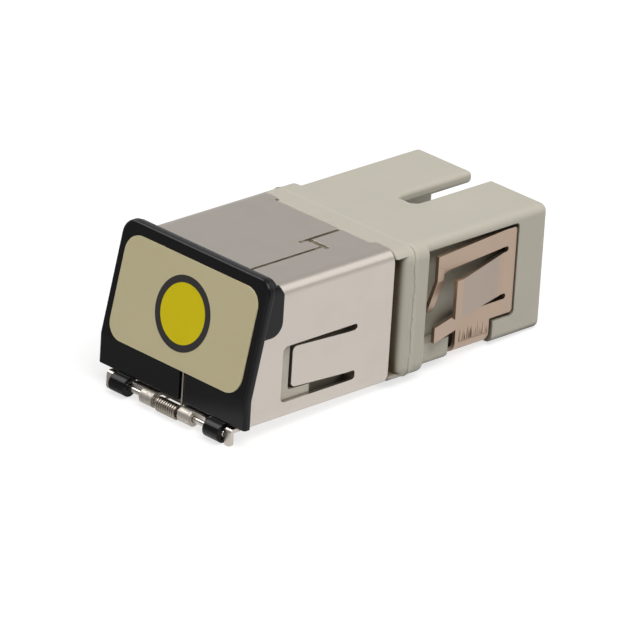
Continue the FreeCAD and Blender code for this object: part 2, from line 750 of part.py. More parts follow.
def on_front_outline(edge):
    """Tell whether an edge bounds the door's front at its sides or its top."""
    slope = math.tan(math.radians(size.door_tilt.value))
    for sample in samples_of(edge):
        face = door_front.value + max(0.0, sample.z - kink_z.value) * slope
        if abs(sample.y - face) > EDGE_TOLERANCE:
            return False
    level = abs(edge.Vertexes[0].Z - edge.Vertexes[-1].Z) < EDGE_TOLERANCE
    return not level or samples_of(edge)[1].z > door_top.value - EDGE_TOLERANCE


def make_shutter_door():
    """Build the door with its slanted face, hood, cheeks and knuckles."""
    body = new_body("shutter_door")
    door_side = size.door_width / 2
    cheek_rear = door_top_front + size.cheek_depth
    cheek_bottom = door_top - size.cheek_height
    hood_rear = door_top_front + size.hood_depth
    hood_bottom = shield_level + size.door_gap
    inner_side = shield_side + size.door_gap
    back_bend = kink_behind(size.door_wall)
    hood_side = door_side - size.hood_inset
    hood_top = door_top - size.hood_inset
    hood_root = size.door_wall / 2
    hood = polygon([
        slant_behind(hood_root, hood_top),
        (hood_rear, hood_top),
        (cheek_rear, hood_top - size.cheek_slope),
        (cheek_rear, cheek_bottom),
        slant_behind(hood_root, cheek_bottom),
    ])
    extrude(body, "door_hood", "x", (-hood_side, hood_side), hood)
    hood_corner = {"x": hood_side, "z": hood_top}
    round_edges(body, "door_hood_corners", size.door_corner_radius - size.hood_inset, hood_corner)
    round_edges(body, "door_cheek_corners", size.cheek_radius, {"y": cheek_rear, "z": cheek_bottom})

    plate = polygon([
        (door_front, door_bottom),
        (door_front, kink_z),
        (door_top_front, door_top),
        slant_behind(size.door_wall, door_top),
        back_bend,
        (door_front + size.door_wall, door_bottom),
    ])
    extrude(body, "door_plate", "x", (-door_side, door_side), plate)
    round_edges(body, "door_corners", size.door_corner_radius, {"x": door_side, "z": door_top})
    round_edges(body, "door_front_edges", size.door_edge_radius, on_front_outline)

    beyond = size.hood_depth + size.cheek_depth
    hollow = polygon([
        back_bend,
        slant_behind(size.door_wall, hood_bottom),
        (hood_rear, hood_bottom),
        (hood_rear, door_top + beyond),
        (cheek_rear + beyond, door_top + beyond),
        (cheek_rear + beyond, back_bend[1]),
    ])
    cut_away(body, "door_hollow", "x", (-inner_side, inner_side), hollow)

    barrel_outer = size.pin_length / 2 + size.ear_gap - size.knuckle_side_gap
    barrel_inner = barrel_outer - size.door_knuckle_width
    barrel_radius = size.door_knuckle_diameter / 2
    web = rectangle(door_front, door_front + size.door_wall, hinge_z, door_bottom + size.door_wall)
    bore = circle(hinge_y, hinge_z, size.pin_diameter / 2 + size.pin_running_gap)
    for side, name in zip(SIDES, ("left", "right")):
        ends = (barrel_inner * side, barrel_outer * side)
        extrude(body, f"door_{name}_web", "x", ends, web)
        extrude(body, f"door_{name}_knuckle", "x", ends, circle(hinge_y, hinge_z, barrel_radius))
        cut_away(body, f"door_{name}_knuckle_bore", "x", ends, bore)

    groove_ends = (coil_end - size.groove_width / 2, coil_end + size.groove_width / 2)
    groove_floor = door_front + size.groove_depth
    groove_top = kink_z + size.groove_past_band
    groove = rectangle(door_front - size.door_wall, groove_floor, door_bottom - size.door_wall, groove_top)
    cut_away(body, "door_leg_groove", "x", groove_ends, groove)


def make_door_label():
    """Build the thin plate bonded to the door's slanted face."""
    body = new_body("door_label")
    place(body, y=door_front, z=kink_z)
    body.Placement.Rotation = FreeCAD.Rotation(FreeCAD.Vector(1, 0, 0), -size.door_tilt.value)
    body.setExpression("Placement.Rotation.Angle", (-size.door_tilt).text)
    side = size.label_width / 2
    label_end = size.label_start + size.label_length
    outline = rectangle(-side, side, size.label_start, label_end)
    extrude(body, "label_plate", "y", (-size.label_thickness, zero), outline)
    round_edges(
        body, "label_corners", size.label_radius,
        {"x": side, "z": size.label_start},
        {"x": side, "z": label_end},
    )


def make_hinge_pin():
    """Build the steel pin."""
    body = new_body("hinge_pin")
    place(body, y=hinge_y, z=hinge_z)
    ends = (-size.pin_length / 2, size.pin_length / 2)
    extrude(body, "pin_rod", "x", ends, circle(zero, zero, size.pin_diameter / 2))
    round_edges(body, "pin_ends", size.pin_end_radius, {"x": size.pin_length / 2})


def make_torsion_spring():
    """Build the coil, the leg in the door's groove and the leg under the plate."""
    body = new_body("torsion_spring")
    play = size.coil_mean_radius - wire_radius - size.pin_diameter / 2
    coil_z = hinge_z - play + size.coil_pin_gap
    place(body, y=hinge_y, z=coil_z)
    section = circle(-coil_end, size.coil_mean_radius, wire_radius)
    profile = sketch_at(body, "coil_section", "z", zero, section)
    coil = body.newObject("PartDesign::AdditiveHelix", "coil")
    coil.Profile = profile
    coil.ReferenceAxis = (profile, ["H_Axis"])
    coil.Mode = "pitch-turns-angle"
    coil.setExpression("Pitch", size.coil_pitch.text)
    coil.setExpression("Turns", coil_turns.text)
    document.recompute()
    leg_start = size.coil_mean_radius - wire_radius
    leg_top = kink_z + size.door_leg_past_band - coil_z
    door_leg = circle(coil_end, size.door_leg_back, wire_radius)
    extrude(body, "door_leg", "z", (leg_start, leg_top), door_leg)
    plate_leg_level = -shield_level - coil_z - wire_radius - size.leg_gap
    plate_leg = circle(-coil_end, plate_leg_level, wire_radius)
    extrude(body, "plate_leg", "y", (leg_start, size.plate_leg), plate_leg)


def clip_strip(side, runs):
    """Return a drawing of a bent strip of one wing; each run is how far it stands out and where."""
    outer = half_width - size.clip_inset
    inner = outer - size.clip_sheet
    face = [((outer + stand) * side, along) for stand, along in runs]
    back = [((inner + stand) * side, along) for stand, along in reversed(runs)]
    return polygon(face + back)


def make_panel_clip():
    """Build the saddle clip: a strap under the housing and a wing on each side."""
    body = new_body("panel_clip")
    outer = half_width - size.clip_inset
    inner = outer - size.clip_sheet
    bar_rear = size.collar_rib + size.recess_length - size.clip_edge_gap
    bar_front = bar_rear - size.clip_bar
    strap_front = size.collar_rib + size.strap_notch_start + size.strap_play
    strap_rear = strap_front + size.strap_width
    strap_low = size.clip_bottom_inset - half_height
    strap_high = strap_low + size.clip_sheet
    tongue_bottom = size.tongue_top - size.tongue_height
    arm_bottom = size.tongue_top + size.clip_slot
    lower_arm_top = tongue_bottom - size.clip_slot
    root = bar_rear - size.clip_sheet
    bend = bar_front - size.bend_start
    tongue_tip = bar_front - size.tongue_length
    upper_end = bar_front - size.upper_arm_length
    lower_end = bar_front - size.lower_arm_length
    leg_rear = upper_end + size.arm_leg_width
    gusset_run = bend - leg_rear - size.arm_gusset / 2
    gusset_stand = size.upper_arm_stand * gusset_run / (bend - upper_end)

    saddle = polygon(mirrored([
        (inner, strap_high),
        (inner, -size.clip_bottom),
        (outer, -size.clip_bottom),
        (outer, strap_low),
    ]))
    extrude(body, "clip_strap", "y", (strap_front, strap_rear), saddle)
    round_edges(
        body, "clip_strap_bends", size.strap_bend,
        {"x": outer, "z": strap_low},
    )
    round_edges(
        body, "clip_strap_inner_bends", size.strap_bend - size.clip_sheet,
        {"x": inner, "z": strap_high},
    )
    for side, name in zip(SIDES, ("left", "right")):
        sheet_ends = (inner * side, outer * side)
        wing = polygon([
            (bar_rear, size.clip_top),
            (bar_front, size.clip_top),
            (bar_front, lower_arm_top),
            (strap_front, lower_arm_top),
            (strap_front, -size.clip_bottom),
            (bar_rear, -size.clip_bottom),
        ])
        extrude(body, f"clip_{name}_wing", "x", sheet_ends, wing)
        tongue = clip_strip(side, [
            (zero, root),
            (zero, bend),
            (size.tongue_stand, tongue_tip + size.tongue_flat),
            (size.tongue_stand, tongue_tip),
        ])
        extrude(body, f"clip_{name}_tongue", "z", (tongue_bottom, size.tongue_top), tongue)
        reach = (inner * side, (outer + size.tongue_stand) * side)
        draw_in = size.tongue_taper
        tapers = (("upper", size.tongue_top, -draw_in), ("lower", tongue_bottom, draw_in))
        for edge_name, edge, drop in tapers:
            wedge = polygon([(bend, edge), (tongue_tip, edge), (tongue_tip, edge + drop)])
            cut_away(body, f"clip_{name}_{edge_name}_taper", "x", reach, wedge)
        upper = clip_strip(side, [(zero, root), (zero, bend), (size.upper_arm_stand, upper_end)])
        extrude(body, f"clip_{name}_upper_arm", "z", (arm_bottom, size.clip_top), upper)
        lower = clip_strip(side, [
            (zero, strap_front + size.clip_sheet),
            (zero, strap_front),
            (size.lower_arm_stand, lower_end),
        ])
        extrude(body, f"clip_{name}_lower_arm", "z", (-size.clip_bottom, lower_arm_top), lower)
        leg_face = (outer + size.upper_arm_stand) * side
        leg_back = (inner + size.upper_arm_stand) * side
        lean = size.arm_leg_in * side
        leg_tip = arm_bottom - size.arm_leg_drop
        leg_bend = arm_bottom - size.arm_gusset
        leg_top = arm_bottom + size.clip_sheet
        leg = polygon([
            (leg_back, leg_top),
            (leg_face, leg_top),
            (leg_face, leg_bend),
            (leg_face - lean, leg_tip),
            (leg_back - lean, leg_tip),
            (leg_back, leg_bend),
        ])
        extrude(body, f"clip_{name}_leg", "y", (upper_end, leg_rear), leg)
        gusset_ends = ((inner + gusset_stand) * side, (outer + gusset_stand) * side)
        corner_rear = leg_rear + size.arm_gusset
        gusset = rectangle(leg_rear, corner_rear, leg_bend, arm_bottom)
        extrude(body, f"clip_{name}_gusset", "x", gusset_ends, gusset)
        hollow = circle(corner_rear, leg_bend, size.arm_gusset)
        cut_away(body, f"clip_{name}_hollow_corner", "x", gusset_ends, hollow)
    round_edges(
        body, "clip_slot_ends", size.clip_slot_radius,
        {"y": bar_front, "z": arm_bottom},
        {"y": bar_front, "z": size.tongue_top},
        {"y": bar_front, "z": tongue_bottom},
        {"y": bar_front, "z": lower_arm_top},
    )
    round_edges(
        body, "clip_rear_corners", size.clip_corner_radius,
        {"y": bar_rear, "z": size.clip_top},
        {"y": bar_rear, "z": size.clip_bottom},
    )


def check_and_write():
    """Stop on any failed object or unsound solid, then write each sub-part."""
    document.recompute()
    for item in document.Objects:
        if "Invalid" in item.State or "Error" in item.State:
            raise RuntimeError(f"{item.Label} failed: {item.State}")
    for body in bodies:
        shape = body.Shape
        if shape.isNull() or not shape.isValid() or len(shape.Solids) != 1:
            raise RuntimeError(f"{body.Label} is not one sound solid")
    os.makedirs(PARTS_FOLDER, exist_ok=True)
    for body in bodies:
        body.Shape.exportStep(os.path.join(PARTS_FOLDER, f"{body.Label}.step"))
        print(f"{body.Label}: {body.Shape.Volume:.3f} mm3")


front_tip = slant_behind(size.door_wall + size.housing_gap, half_height)[0]
make_housing("rear_housing", End.REAR, size.collar_rib, size.rear_length)
fit_to_shield(make_housing("front_housing", End.FRONT, size.front_rib, front_tip))
make_latch_insert("rear_latch_insert", End.REAR)
make_latch_insert("front_latch_insert", End.FRONT)
make_alignment_sleeve()
make_shield()
make_shutter_door()
make_door_label()
make_hinge_pin()
make_torsion_spring()
make_panel_clip()
check_and_write()
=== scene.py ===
"""Looks of a simplex fibre coupler with a sprung shutter, in metres, in the frame of its solids.

X runs across the coupler, Y runs along the optical axis to the open rear port and Z is up.
"""

import functools
import json
import logging
import math
from collections.abc import Mapping
from dataclasses import dataclass
from enum import Enum, IntEnum

import bmesh
import bpy
from mathutils import Matrix, Vector, noise


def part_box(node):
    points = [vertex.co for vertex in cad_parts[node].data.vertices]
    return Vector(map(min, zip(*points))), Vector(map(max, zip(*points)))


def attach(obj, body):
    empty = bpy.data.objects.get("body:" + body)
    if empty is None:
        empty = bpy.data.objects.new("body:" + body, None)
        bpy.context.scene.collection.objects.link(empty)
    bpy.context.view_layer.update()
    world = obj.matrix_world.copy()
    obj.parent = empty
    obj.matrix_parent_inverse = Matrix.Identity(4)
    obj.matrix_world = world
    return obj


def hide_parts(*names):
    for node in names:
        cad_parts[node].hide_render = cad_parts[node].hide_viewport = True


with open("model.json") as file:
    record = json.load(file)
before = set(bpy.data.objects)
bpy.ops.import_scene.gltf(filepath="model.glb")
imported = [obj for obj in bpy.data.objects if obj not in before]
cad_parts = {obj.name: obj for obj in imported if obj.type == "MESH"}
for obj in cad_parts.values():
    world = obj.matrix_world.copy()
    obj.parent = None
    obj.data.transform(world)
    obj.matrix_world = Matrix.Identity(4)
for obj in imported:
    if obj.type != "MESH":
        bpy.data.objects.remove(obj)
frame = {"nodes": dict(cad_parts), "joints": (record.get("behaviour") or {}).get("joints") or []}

log = logging.getLogger("coupler")
MM = 0.001
FULL_TURN = 2 * math.pi
# A mesh has a sharp edge where its faces meet at more than this.
SHARP_FROM = math.radians(40)
# A unit direction runs along an axis when it goes further along it than this.
ALIGNED = 0.5
NOISE_MEAN = 0.5
# How far a softened normal leaves its face where the edges' painted highlight and wear begin and
# where they are full.
EDGE_MASK = (0.02, 0.3)
UNTURNED = (0.0, 0.0, 0.0)

Colour = tuple[float, float, float]
Triple = tuple[float, float, float]
Pair = tuple[float, float]


class Body(str, Enum):
    """Bodies that a piece can move with."""

    COUPLER = "coupler"
    SHUTTER = "shutter"


class Slot(str, Enum):
    """Material slots of the record."""

    IVORY = "ivory_plastic"
    BLACK = "black_plastic"
    SPRING = "spring_steel"
    LABEL = "beige_label"


class Axis(str, Enum):
    """Axes of the shared frame."""

    ACROSS = "X"
    BACK = "Y"
    UP = "Z"


class MixSocket(IntEnum):
    """Places of the colour sockets on a Mix node."""

    FACTOR = 0
    FIRST = 6
    SECOND = 7
    RESULT = 2


class Detail(IntEnum):
    """How many finer layers a noise has."""

    PLAIN = 1
    FINE = 2
    CLOUDY = 3
    SMUDGED = 4


class Signal:
    """An output socket that takes part in Python arithmetic through Math nodes."""

    def __init__(self, graph: "Graph", socket: bpy.types.NodeSocket | None) -> None:
        """Keep the socket and the graph that it belongs to."""
        self.graph = graph
        self.socket = socket

    def combine(self, operation: str, first: "Operand", second: "Operand") -> "Signal":
        """Add a Math node.

        Args:
            operation: The node's operation.
            first: Its first value.
            second: Its second value.

        Returns:
            The node's result.
        """
        return self.graph.add("ShaderNodeMath", {"operation": operation}, {0: first, 1: second})

    def __add__(self, other: "Operand") -> "Signal":
        """Return the sum."""
        return self.combine("ADD", self, other)

    def __radd__(self, other: "Operand") -> "Signal":
        """Return the sum with a plain number first."""
        return self.combine("ADD", other, self)

    def __sub__(self, other: "Operand") -> "Signal":
        """Return the difference."""
        return self.combine("SUBTRACT", self, other)

    def __rsub__(self, other: "Operand") -> "Signal":
        """Return the difference with a plain number first."""
        return self.combine("SUBTRACT", other, self)

    def __mul__(self, other: "Operand") -> "Signal":
        """Return the product."""
        return self.combine("MULTIPLY", self, other)

    def __rmul__(self, other: "Operand") -> "Signal":
        """Return the product with a plain number first."""
        return self.combine("MULTIPLY", other, self)


Operand = Signal | float | int | tuple[float, ...]


class Graph:
    """The node tree of one material or of the world."""

    ROUNDING_SAMPLES = 6
    CREVICE_SAMPLES = 8

    def __init__(self, tree: bpy.types.NodeTree) -> None:
        """Empty the tree."""
        self.tree = tree
        tree.nodes.clear()

    def add(
        self,
        kind: str,
        settings: Mapping[str, object] | None = None,
        inputs: Mapping[str | int, Operand] | None = None,
        output: str | int = 0,
    ) -> Signal:
        """Add a node.

        Args:
            kind: The node's type.
            settings: Its own settings, set before its sockets.
            inputs: Values or links of its sockets, by name or place.
            output: The output that is wanted, by name or place.

        Returns:
            The wanted output, or an empty signal from a node that has none.
        """
        node = self.tree.nodes.new(kind)
        for name, value in (settings or {}).items():
            setattr(node, name, value)
        for name, value in (inputs or {}).items():
            socket = node.inputs[name]
            if isinstance(value, Signal):
                self.tree.links.new(value.socket, socket)
            else:
                socket.default_value = value
        return Signal(self, node.outputs[output] if node.outputs else None)

    def place(self, size: Triple, turn: Triple) -> Signal:
        """Return the place on the piece.

        Args:
            size: The sizes that it is counted in along each axis.
            turn: How the axes are turned.

        Returns:
            The place.
        """
        own = self.add("ShaderNodeTexCoord", output="Object")
        inputs = {"Vector": own, "Rotation": turn, "Scale": size}
        return self.add("ShaderNodeMapping", {"vector_type": "TEXTURE"}, inputs)

    def part(self, vector: Signal, axis: Axis) -> Signal:
        """Return one coordinate of a vector."""
        return self.add("ShaderNodeSeparateXYZ", None, {"Vector": vector}, axis.value)

    def axis(self, axis: Axis) -> Signal:
        """Return one coordinate of the place on the piece, in metres."""
        return self.part(self.add("ShaderNodeTexCoord", output="Object"), axis)

    def reach(self, axis: Axis) -> Signal:
        """Return how far the place is from the middle plane along one axis, in metres."""
        along = self.axis(axis)
        return along.combine("MAXIMUM", along, 0 - along)

    def cloud(
        self, size: Triple, detail: Detail = Detail.FINE, turn: Triple = UNTURNED
    ) -> Signal:
        """Return soft noise between 0 and 1.

        Args:
            size: How long its features are along each axis.
            detail: How many finer layers it has.
            turn: How its axes are turned.

        Returns:
            The noise.
        """
        inputs = {"Vector": self.place(size, turn), "Scale": 1.0, "Detail": detail}
        return self.add("ShaderNodeTexNoise", {"noise_dimensions": "3D"}, inputs)

    def step(self, value: Signal, low: float, high: float) -> Signal:
        """Return a smooth rise from 0 at the low value to 1 at the high one."""
        inputs = {"Value": value, "From Min": low, "From Max": high}
        return self.add("ShaderNodeMapRange", {"interpolation_type": "SMOOTHSTEP"}, inputs)

    def band(self, value: Signal, low: float, high: float, soft: float) -> Signal:
        """Return 1 between two values, with soft ends."""
        return self.step(value, low - soft, low + soft) - self.step(value, high - soft, high + soft)

    def tint(self, factor: Operand, first: Operand, second: Operand) -> Signal:
        """Return the first colour where the factor is 0 and the second where it is 1."""
        inputs = {MixSocket.FACTOR: factor, MixSocket.FIRST: first, MixSocket.SECOND: second}
        return self.add("ShaderNodeMix", {"data_type": "RGBA"}, inputs, MixSocket.RESULT)

    def along(self, way: Signal, aim: Operand) -> Signal:
        """Return how far one direction runs along another."""
        both = {0: way, 1: aim}
        return self.add("ShaderNodeVectorMath", {"operation": "DOT_PRODUCT"}, both, "Value")

    def softened(self, radius: float) -> Signal:
        """Return the normal of the surface with its edges rounded."""
        settings = {"samples": self.ROUNDING_SAMPLES}
        return self.add("ShaderNodeBevel", settings, {"Radius": radius})

    def edges(self, normal: Signal) -> Signal:
        """Return a mask that rises where a softened normal leaves the surface's own."""
        own = self.add("ShaderNodeNewGeometry", output="Normal")
        return 1 - self.along(normal, own)

    def crevices(self, reach: float) -> Signal:
        """Return a mask that rises in gaps and corners narrower than the given reach."""
        settings = {"samples": self.CREVICE_SAMPLES}
        return 1 - self.add("ShaderNodeAmbientOcclusion", settings, {"Distance": reach}, "AO")

    def relief(self, height: Signal, depth: float, normal: Signal) -> Signal:
        """Return a normal that follows a relief of the given depth."""
        inputs = {"Strength": 1.0, "Distance": depth, "Height": height, "Normal": normal}
        return self.add("ShaderNodeBump", None, inputs)


def rgba(colour: Colour, level: float = 1.0) -> tuple[float, float, float, float]:
    """Return a colour as a socket takes it, brighter or darker by a level."""
    red, green, blue = (part * level for part in colour)
    return red, green, blue, 1.0


@dataclass(frozen=True)
class Finish:
    """What every surface has: a colour, a gloss and edges that are never quite sharp."""

    name: str
    colour: Colour
    roughness: float
    metallic: float = 0.0
    specular: float = 0.5
    edge: float = 0.05 * MM

    def surface(self, graph: Graph) -> dict[str, Operand]:
        """Return the shader's inputs that change over the surface."""
        return {"Normal": graph.softened(self.edge)}

    def make(self) -> bpy.types.Material:
        """Make the material.

        Returns:
            The finished material.
        """
        material = bpy.data.materials.new(self.name)
        material.use_nodes = True
        graph = Graph(material.node_tree)
        inputs: dict[str, Operand] = {
            "Base Color": rgba(self.colour),
            "Roughness": self.roughness,
            "Metallic": self.metallic,
            "Specular IOR Level": self.specular,
        }
        inputs.update(self.surface(graph))
        shader = graph.add("ShaderNodeBsdfPrincipled", None, inputs)
        graph.add("ShaderNodeOutputMaterial", None, {"Surface": shader})
        return material


@dataclass(frozen=True)
class MouldedPlastic(Finish):
    """Moulded plastic with a fine eroded grain, faint flow clouds, edges lightened by a painted
    highlight and a little rubbing wear, and painted shade in its crevices.
    """

    grain: float = 0.09 * MM
    grain_depth: float = 0.0016 * MM
    grain_gloss: float = 0.16
    flow: float = 3.5 * MM
    flow_stretch: float = 2.0
    flow_shift: float = 0.05
    flow_gloss: float = 0.1
    # Edges lightened in colour by a painted highlight and a little rubbing wear.
    rub_and_highlight: float = 0.12
    rub_and_highlight_level: float = 1.6
    rub_gloss: float = 0.08
    # Painted shade: crevices that the ambient occlusion finds are darkened by this share.
    crevice_shade: Colour = (0.1, 0.08, 0.05)
    crevice_shade_reach: float = 1.1 * MM
    crevice_shade_edge: Pair = (0.2, 0.7)
    crevice_shade_share: float = 0.0

    def shaded_crevices(self, graph: Graph) -> Signal:
        """Return a mask of the corners where shade is painted."""
        return graph.step(graph.crevices(self.crevice_shade_reach), *self.crevice_shade_edge)

    def surface(self, graph: Graph) -> dict[str, Operand]:
        """Return a clouded colour with a painted highlight on the edges and painted shade in the
        crevices, an uneven gloss and a grained normal.

        Args:
            graph: The material's nodes.

        Returns:
            The shader's inputs that change over the surface.
        """
        normal = graph.softened(self.edge)
        painted_light = graph.step(graph.edges(normal), *EDGE_MASK)
        flow = graph.cloud((self.flow, self.flow * self.flow_stretch, self.flow), Detail.CLOUDY)
        grain = graph.cloud((self.grain,) * 3)
        cloudy = graph.tint(
            flow, rgba(self.colour, 1 - self.flow_shift), rgba(self.colour, 1 + self.flow_shift)
        )
        # Painted highlight and wear lighten the edges.
        worn = graph.tint(painted_light * self.rub_and_highlight, cloudy, rgba(self.colour, self.rub_and_highlight_level))
        matt = self.roughness + (grain - NOISE_MEAN) * self.grain_gloss
        return {
            # The crevices' darkening is painted shade.
            "Base Color": graph.tint(self.shaded_crevices(graph) * self.crevice_shade_share, worn, rgba(self.crevice_shade)),
            "Roughness": matt + (flow - NOISE_MEAN) * self.flow_gloss - painted_light * self.rub_gloss,
            "Normal": graph.relief(grain, self.grain_depth, normal),
        }


@dataclass(frozen=True)
class WeldedPlastic(MouldedPlastic):
    """The halves' plastic, with painted shade in the gap between the front rib and the shield's
    edge.
    """

    gap_along: Pair = (-1.7 * MM, -0.5 * MM)
    gap_height: Pair = (4.28 * MM, 4.34 * MM)
    gap_sides: Pair = (6.3 * MM, 6.92 * MM)
    # Painted shade in the gap, darker towards its bottom.
    gap_shade: Colour = (0.15, 0.11, 0.06)
    gap_share: float = 0.85
    seam_height: Pair = (4.0 * MM, 4.15 * MM)
    seam_end: Pair = (-1.75 * MM, -1.65 * MM)
    # The crevices' painted shade is weaker at the weld and kept out of the shield's seam.
    weld: float = 0.3 * MM
    weld_shade: float = 0.45
    soft: float = 0.1 * MM

    def shaded_crevices(self, graph: Graph) -> Signal:
        """Return the corners with painted shade, weaker at the weld and none in the shield's seam.

        Args:
            graph: The material's nodes.

        Returns:
            A mask of where shade is painted.
        """
        along = graph.axis(Axis.BACK)
        ahead = 1 - graph.step(along, *self.seam_end)
        seam = graph.step(graph.axis(Axis.UP), *self.seam_height) * ahead
        weld = graph.band(along, -self.weld, self.weld, self.soft)
        return super().shaded_crevices(graph) * (1 - seam) * (1 - weld * (1 - self.weld_shade))

    def surface(self, graph: Graph) -> dict[str, Operand]:
        """Return the moulded plastic with painted shade, darker towards the bottom of the gap.

        Args:
            graph: The material's nodes.

        Returns:
            The shader's inputs that change over the surface.
        """
        inputs = super().surface(graph)
        sunk = 1 - graph.step(graph.reach(Axis.ACROSS), *self.gap_sides)
        along = graph.band(graph.axis(Axis.BACK), *self.gap_along, self.soft)
        beside = 1 - graph.step(graph.reach(Axis.UP), *self.gap_height)
        # Painted shade, darkest at the bottom of the gap.
        painted_gap_shade = sunk * along * beside * self.gap_share
        inputs["Base Color"] = graph.tint(painted_gap_shade, inputs["Base Color"], rgba(self.gap_shade))
        return inputs


@dataclass(frozen=True)
class RolledSheet(Finish):
    """Rolled and stamped sheet with streaks along it, smudges, hairlines and a painted highlight on
    its cut edges.
    """

    streak: Triple = (0.06 * MM, 6 * MM, 0.06 * MM)
    streak_depth: float = 0.00004 * MM
    streak_tint: float = 0.05
    streak_gloss: float = 0.05
    smudge: float = 2.6 * MM
    smudge_edge: Pair = (0.42, 0.72)
    smudge_tint: float = 0.14
    smudge_gloss: float = 0.025
    hairline: Triple = (2.4 * MM, 2.4 * MM, 0.02 * MM)
    hairline_turns: Pair = (0.5, -0.85)
    hairline_edge: Pair = (0.69, 0.73)
    hairline_depth: float = 0.6
    hairline_gloss: float = 0.1
    # A painted highlight lightens the colour along the cut edges.
    cut_highlight_tint: float = 0.2
    cut_highlight_level: float = 1.25
    shade: Colour = (0.5, 0.46, 0.42)

    def hairlines(self, graph: Graph) -> Signal:
        """Return a few thin scratches that cross the sheet at two angles.

        Args:
            graph: The material's nodes.

        Returns:
            A mask of the scratches.
        """
        crossed = (
            graph.cloud(self.hairline, Detail.PLAIN, (angle, angle, 0.0))
            for angle in self.hairline_turns
        )
        return sum(graph.step(raw, *self.hairline_edge) for raw in crossed)

    def surface(self, graph: Graph) -> dict[str, Operand]:
        """Return a streaked, smudged and scratched metal with a painted highlight on its edges.

        Args:
            graph: The material's nodes.

        Returns:
            The shader's inputs that change over the surface.
        """
        normal = graph.softened(self.edge)
        cut_highlight = graph.step(graph.edges(normal), *EDGE_MASK)
        streak = graph.cloud(self.streak)
        smudge = graph.cloud((self.smudge,) * 3, Detail.SMUDGED)
        lines = self.hairlines(graph)
        dull = graph.step(smudge, *self.smudge_edge)
        uneven = dull * self.smudge_tint + (streak - NOISE_MEAN) * self.streak_tint
        base = graph.tint(uneven, rgba(self.colour), rgba(self.shade))
        matt = self.roughness + dull * self.smudge_gloss
        worn = (streak - NOISE_MEAN) * self.streak_gloss
        height = streak - lines * self.hairline_depth
        return {
            # Painted highlight on the edges.
            "Base Color": graph.tint(cut_highlight * self.cut_highlight_tint, base, rgba(self.colour, self.cut_highlight_level)),
            "Roughness": matt + worn + lines * self.hairline_gloss,
            "Normal": graph.relief(height, self.streak_depth, normal),
        }


@dataclass(frozen=True)
class HingedSheet(RolledSheet):
    """Rolled sheet whose knuckles the curling die left dull and mottled."""

    hinge: Pair = (-15.32 * MM, -5.21 * MM)
    knuckle_round: Pair = (0.72 * MM, 0.8 * MM)
    knuckle_sides: Pair = (3.2 * MM, 3.4 * MM)
    mottle: float = 0.13 * MM
    mottle_edge: Pair = (0.3, 0.7)
    mottle_tint: float = 0.8
    mottle_gloss: float = 0.08
    dulled: Colour = (0.46, 0.425, 0.38)
    dulled_tint: float = 0.2
    dulled_gloss: float = 0.13

    def knuckles(self, graph: Graph) -> Signal:
        """Return a mask of the two curled knuckles.

        Args:
            graph: The material's nodes.

        Returns:
            The mask.
        """
        back = graph.axis(Axis.BACK) - self.hinge[0]
        up = graph.axis(Axis.UP) - self.hinge[1]
        away = back.combine("SQRT", back * back + up * up, 0.0)
        inner = 1 - graph.step(graph.reach(Axis.ACROSS), *self.knuckle_sides)
        return inner * (1 - graph.step(away, *self.knuckle_round))

    def surface(self, graph: Graph) -> dict[str, Operand]:
        """Return the rolled sheet with its knuckles dulled.

        Args:
            graph: The material's nodes.

        Returns:
            The shader's inputs that change over the surface.
        """
        inputs = super().surface(graph)
        curled = self.knuckles(graph)
        cloud = graph.cloud((self.mottle,) * 3, Detail.CLOUDY)
        mottled = graph.step(cloud, *self.mottle_edge)
        tinted = curled * (self.dulled_tint + mottled * self.mottle_tint)
        matt = curled * (self.dulled_gloss + mottled * self.mottle_gloss)
        inputs["Base Color"] = graph.tint(tinted, inputs["Base Color"], rgba(self.dulled))
        inputs["Roughness"] = inputs["Roughness"] + matt
        return inputs


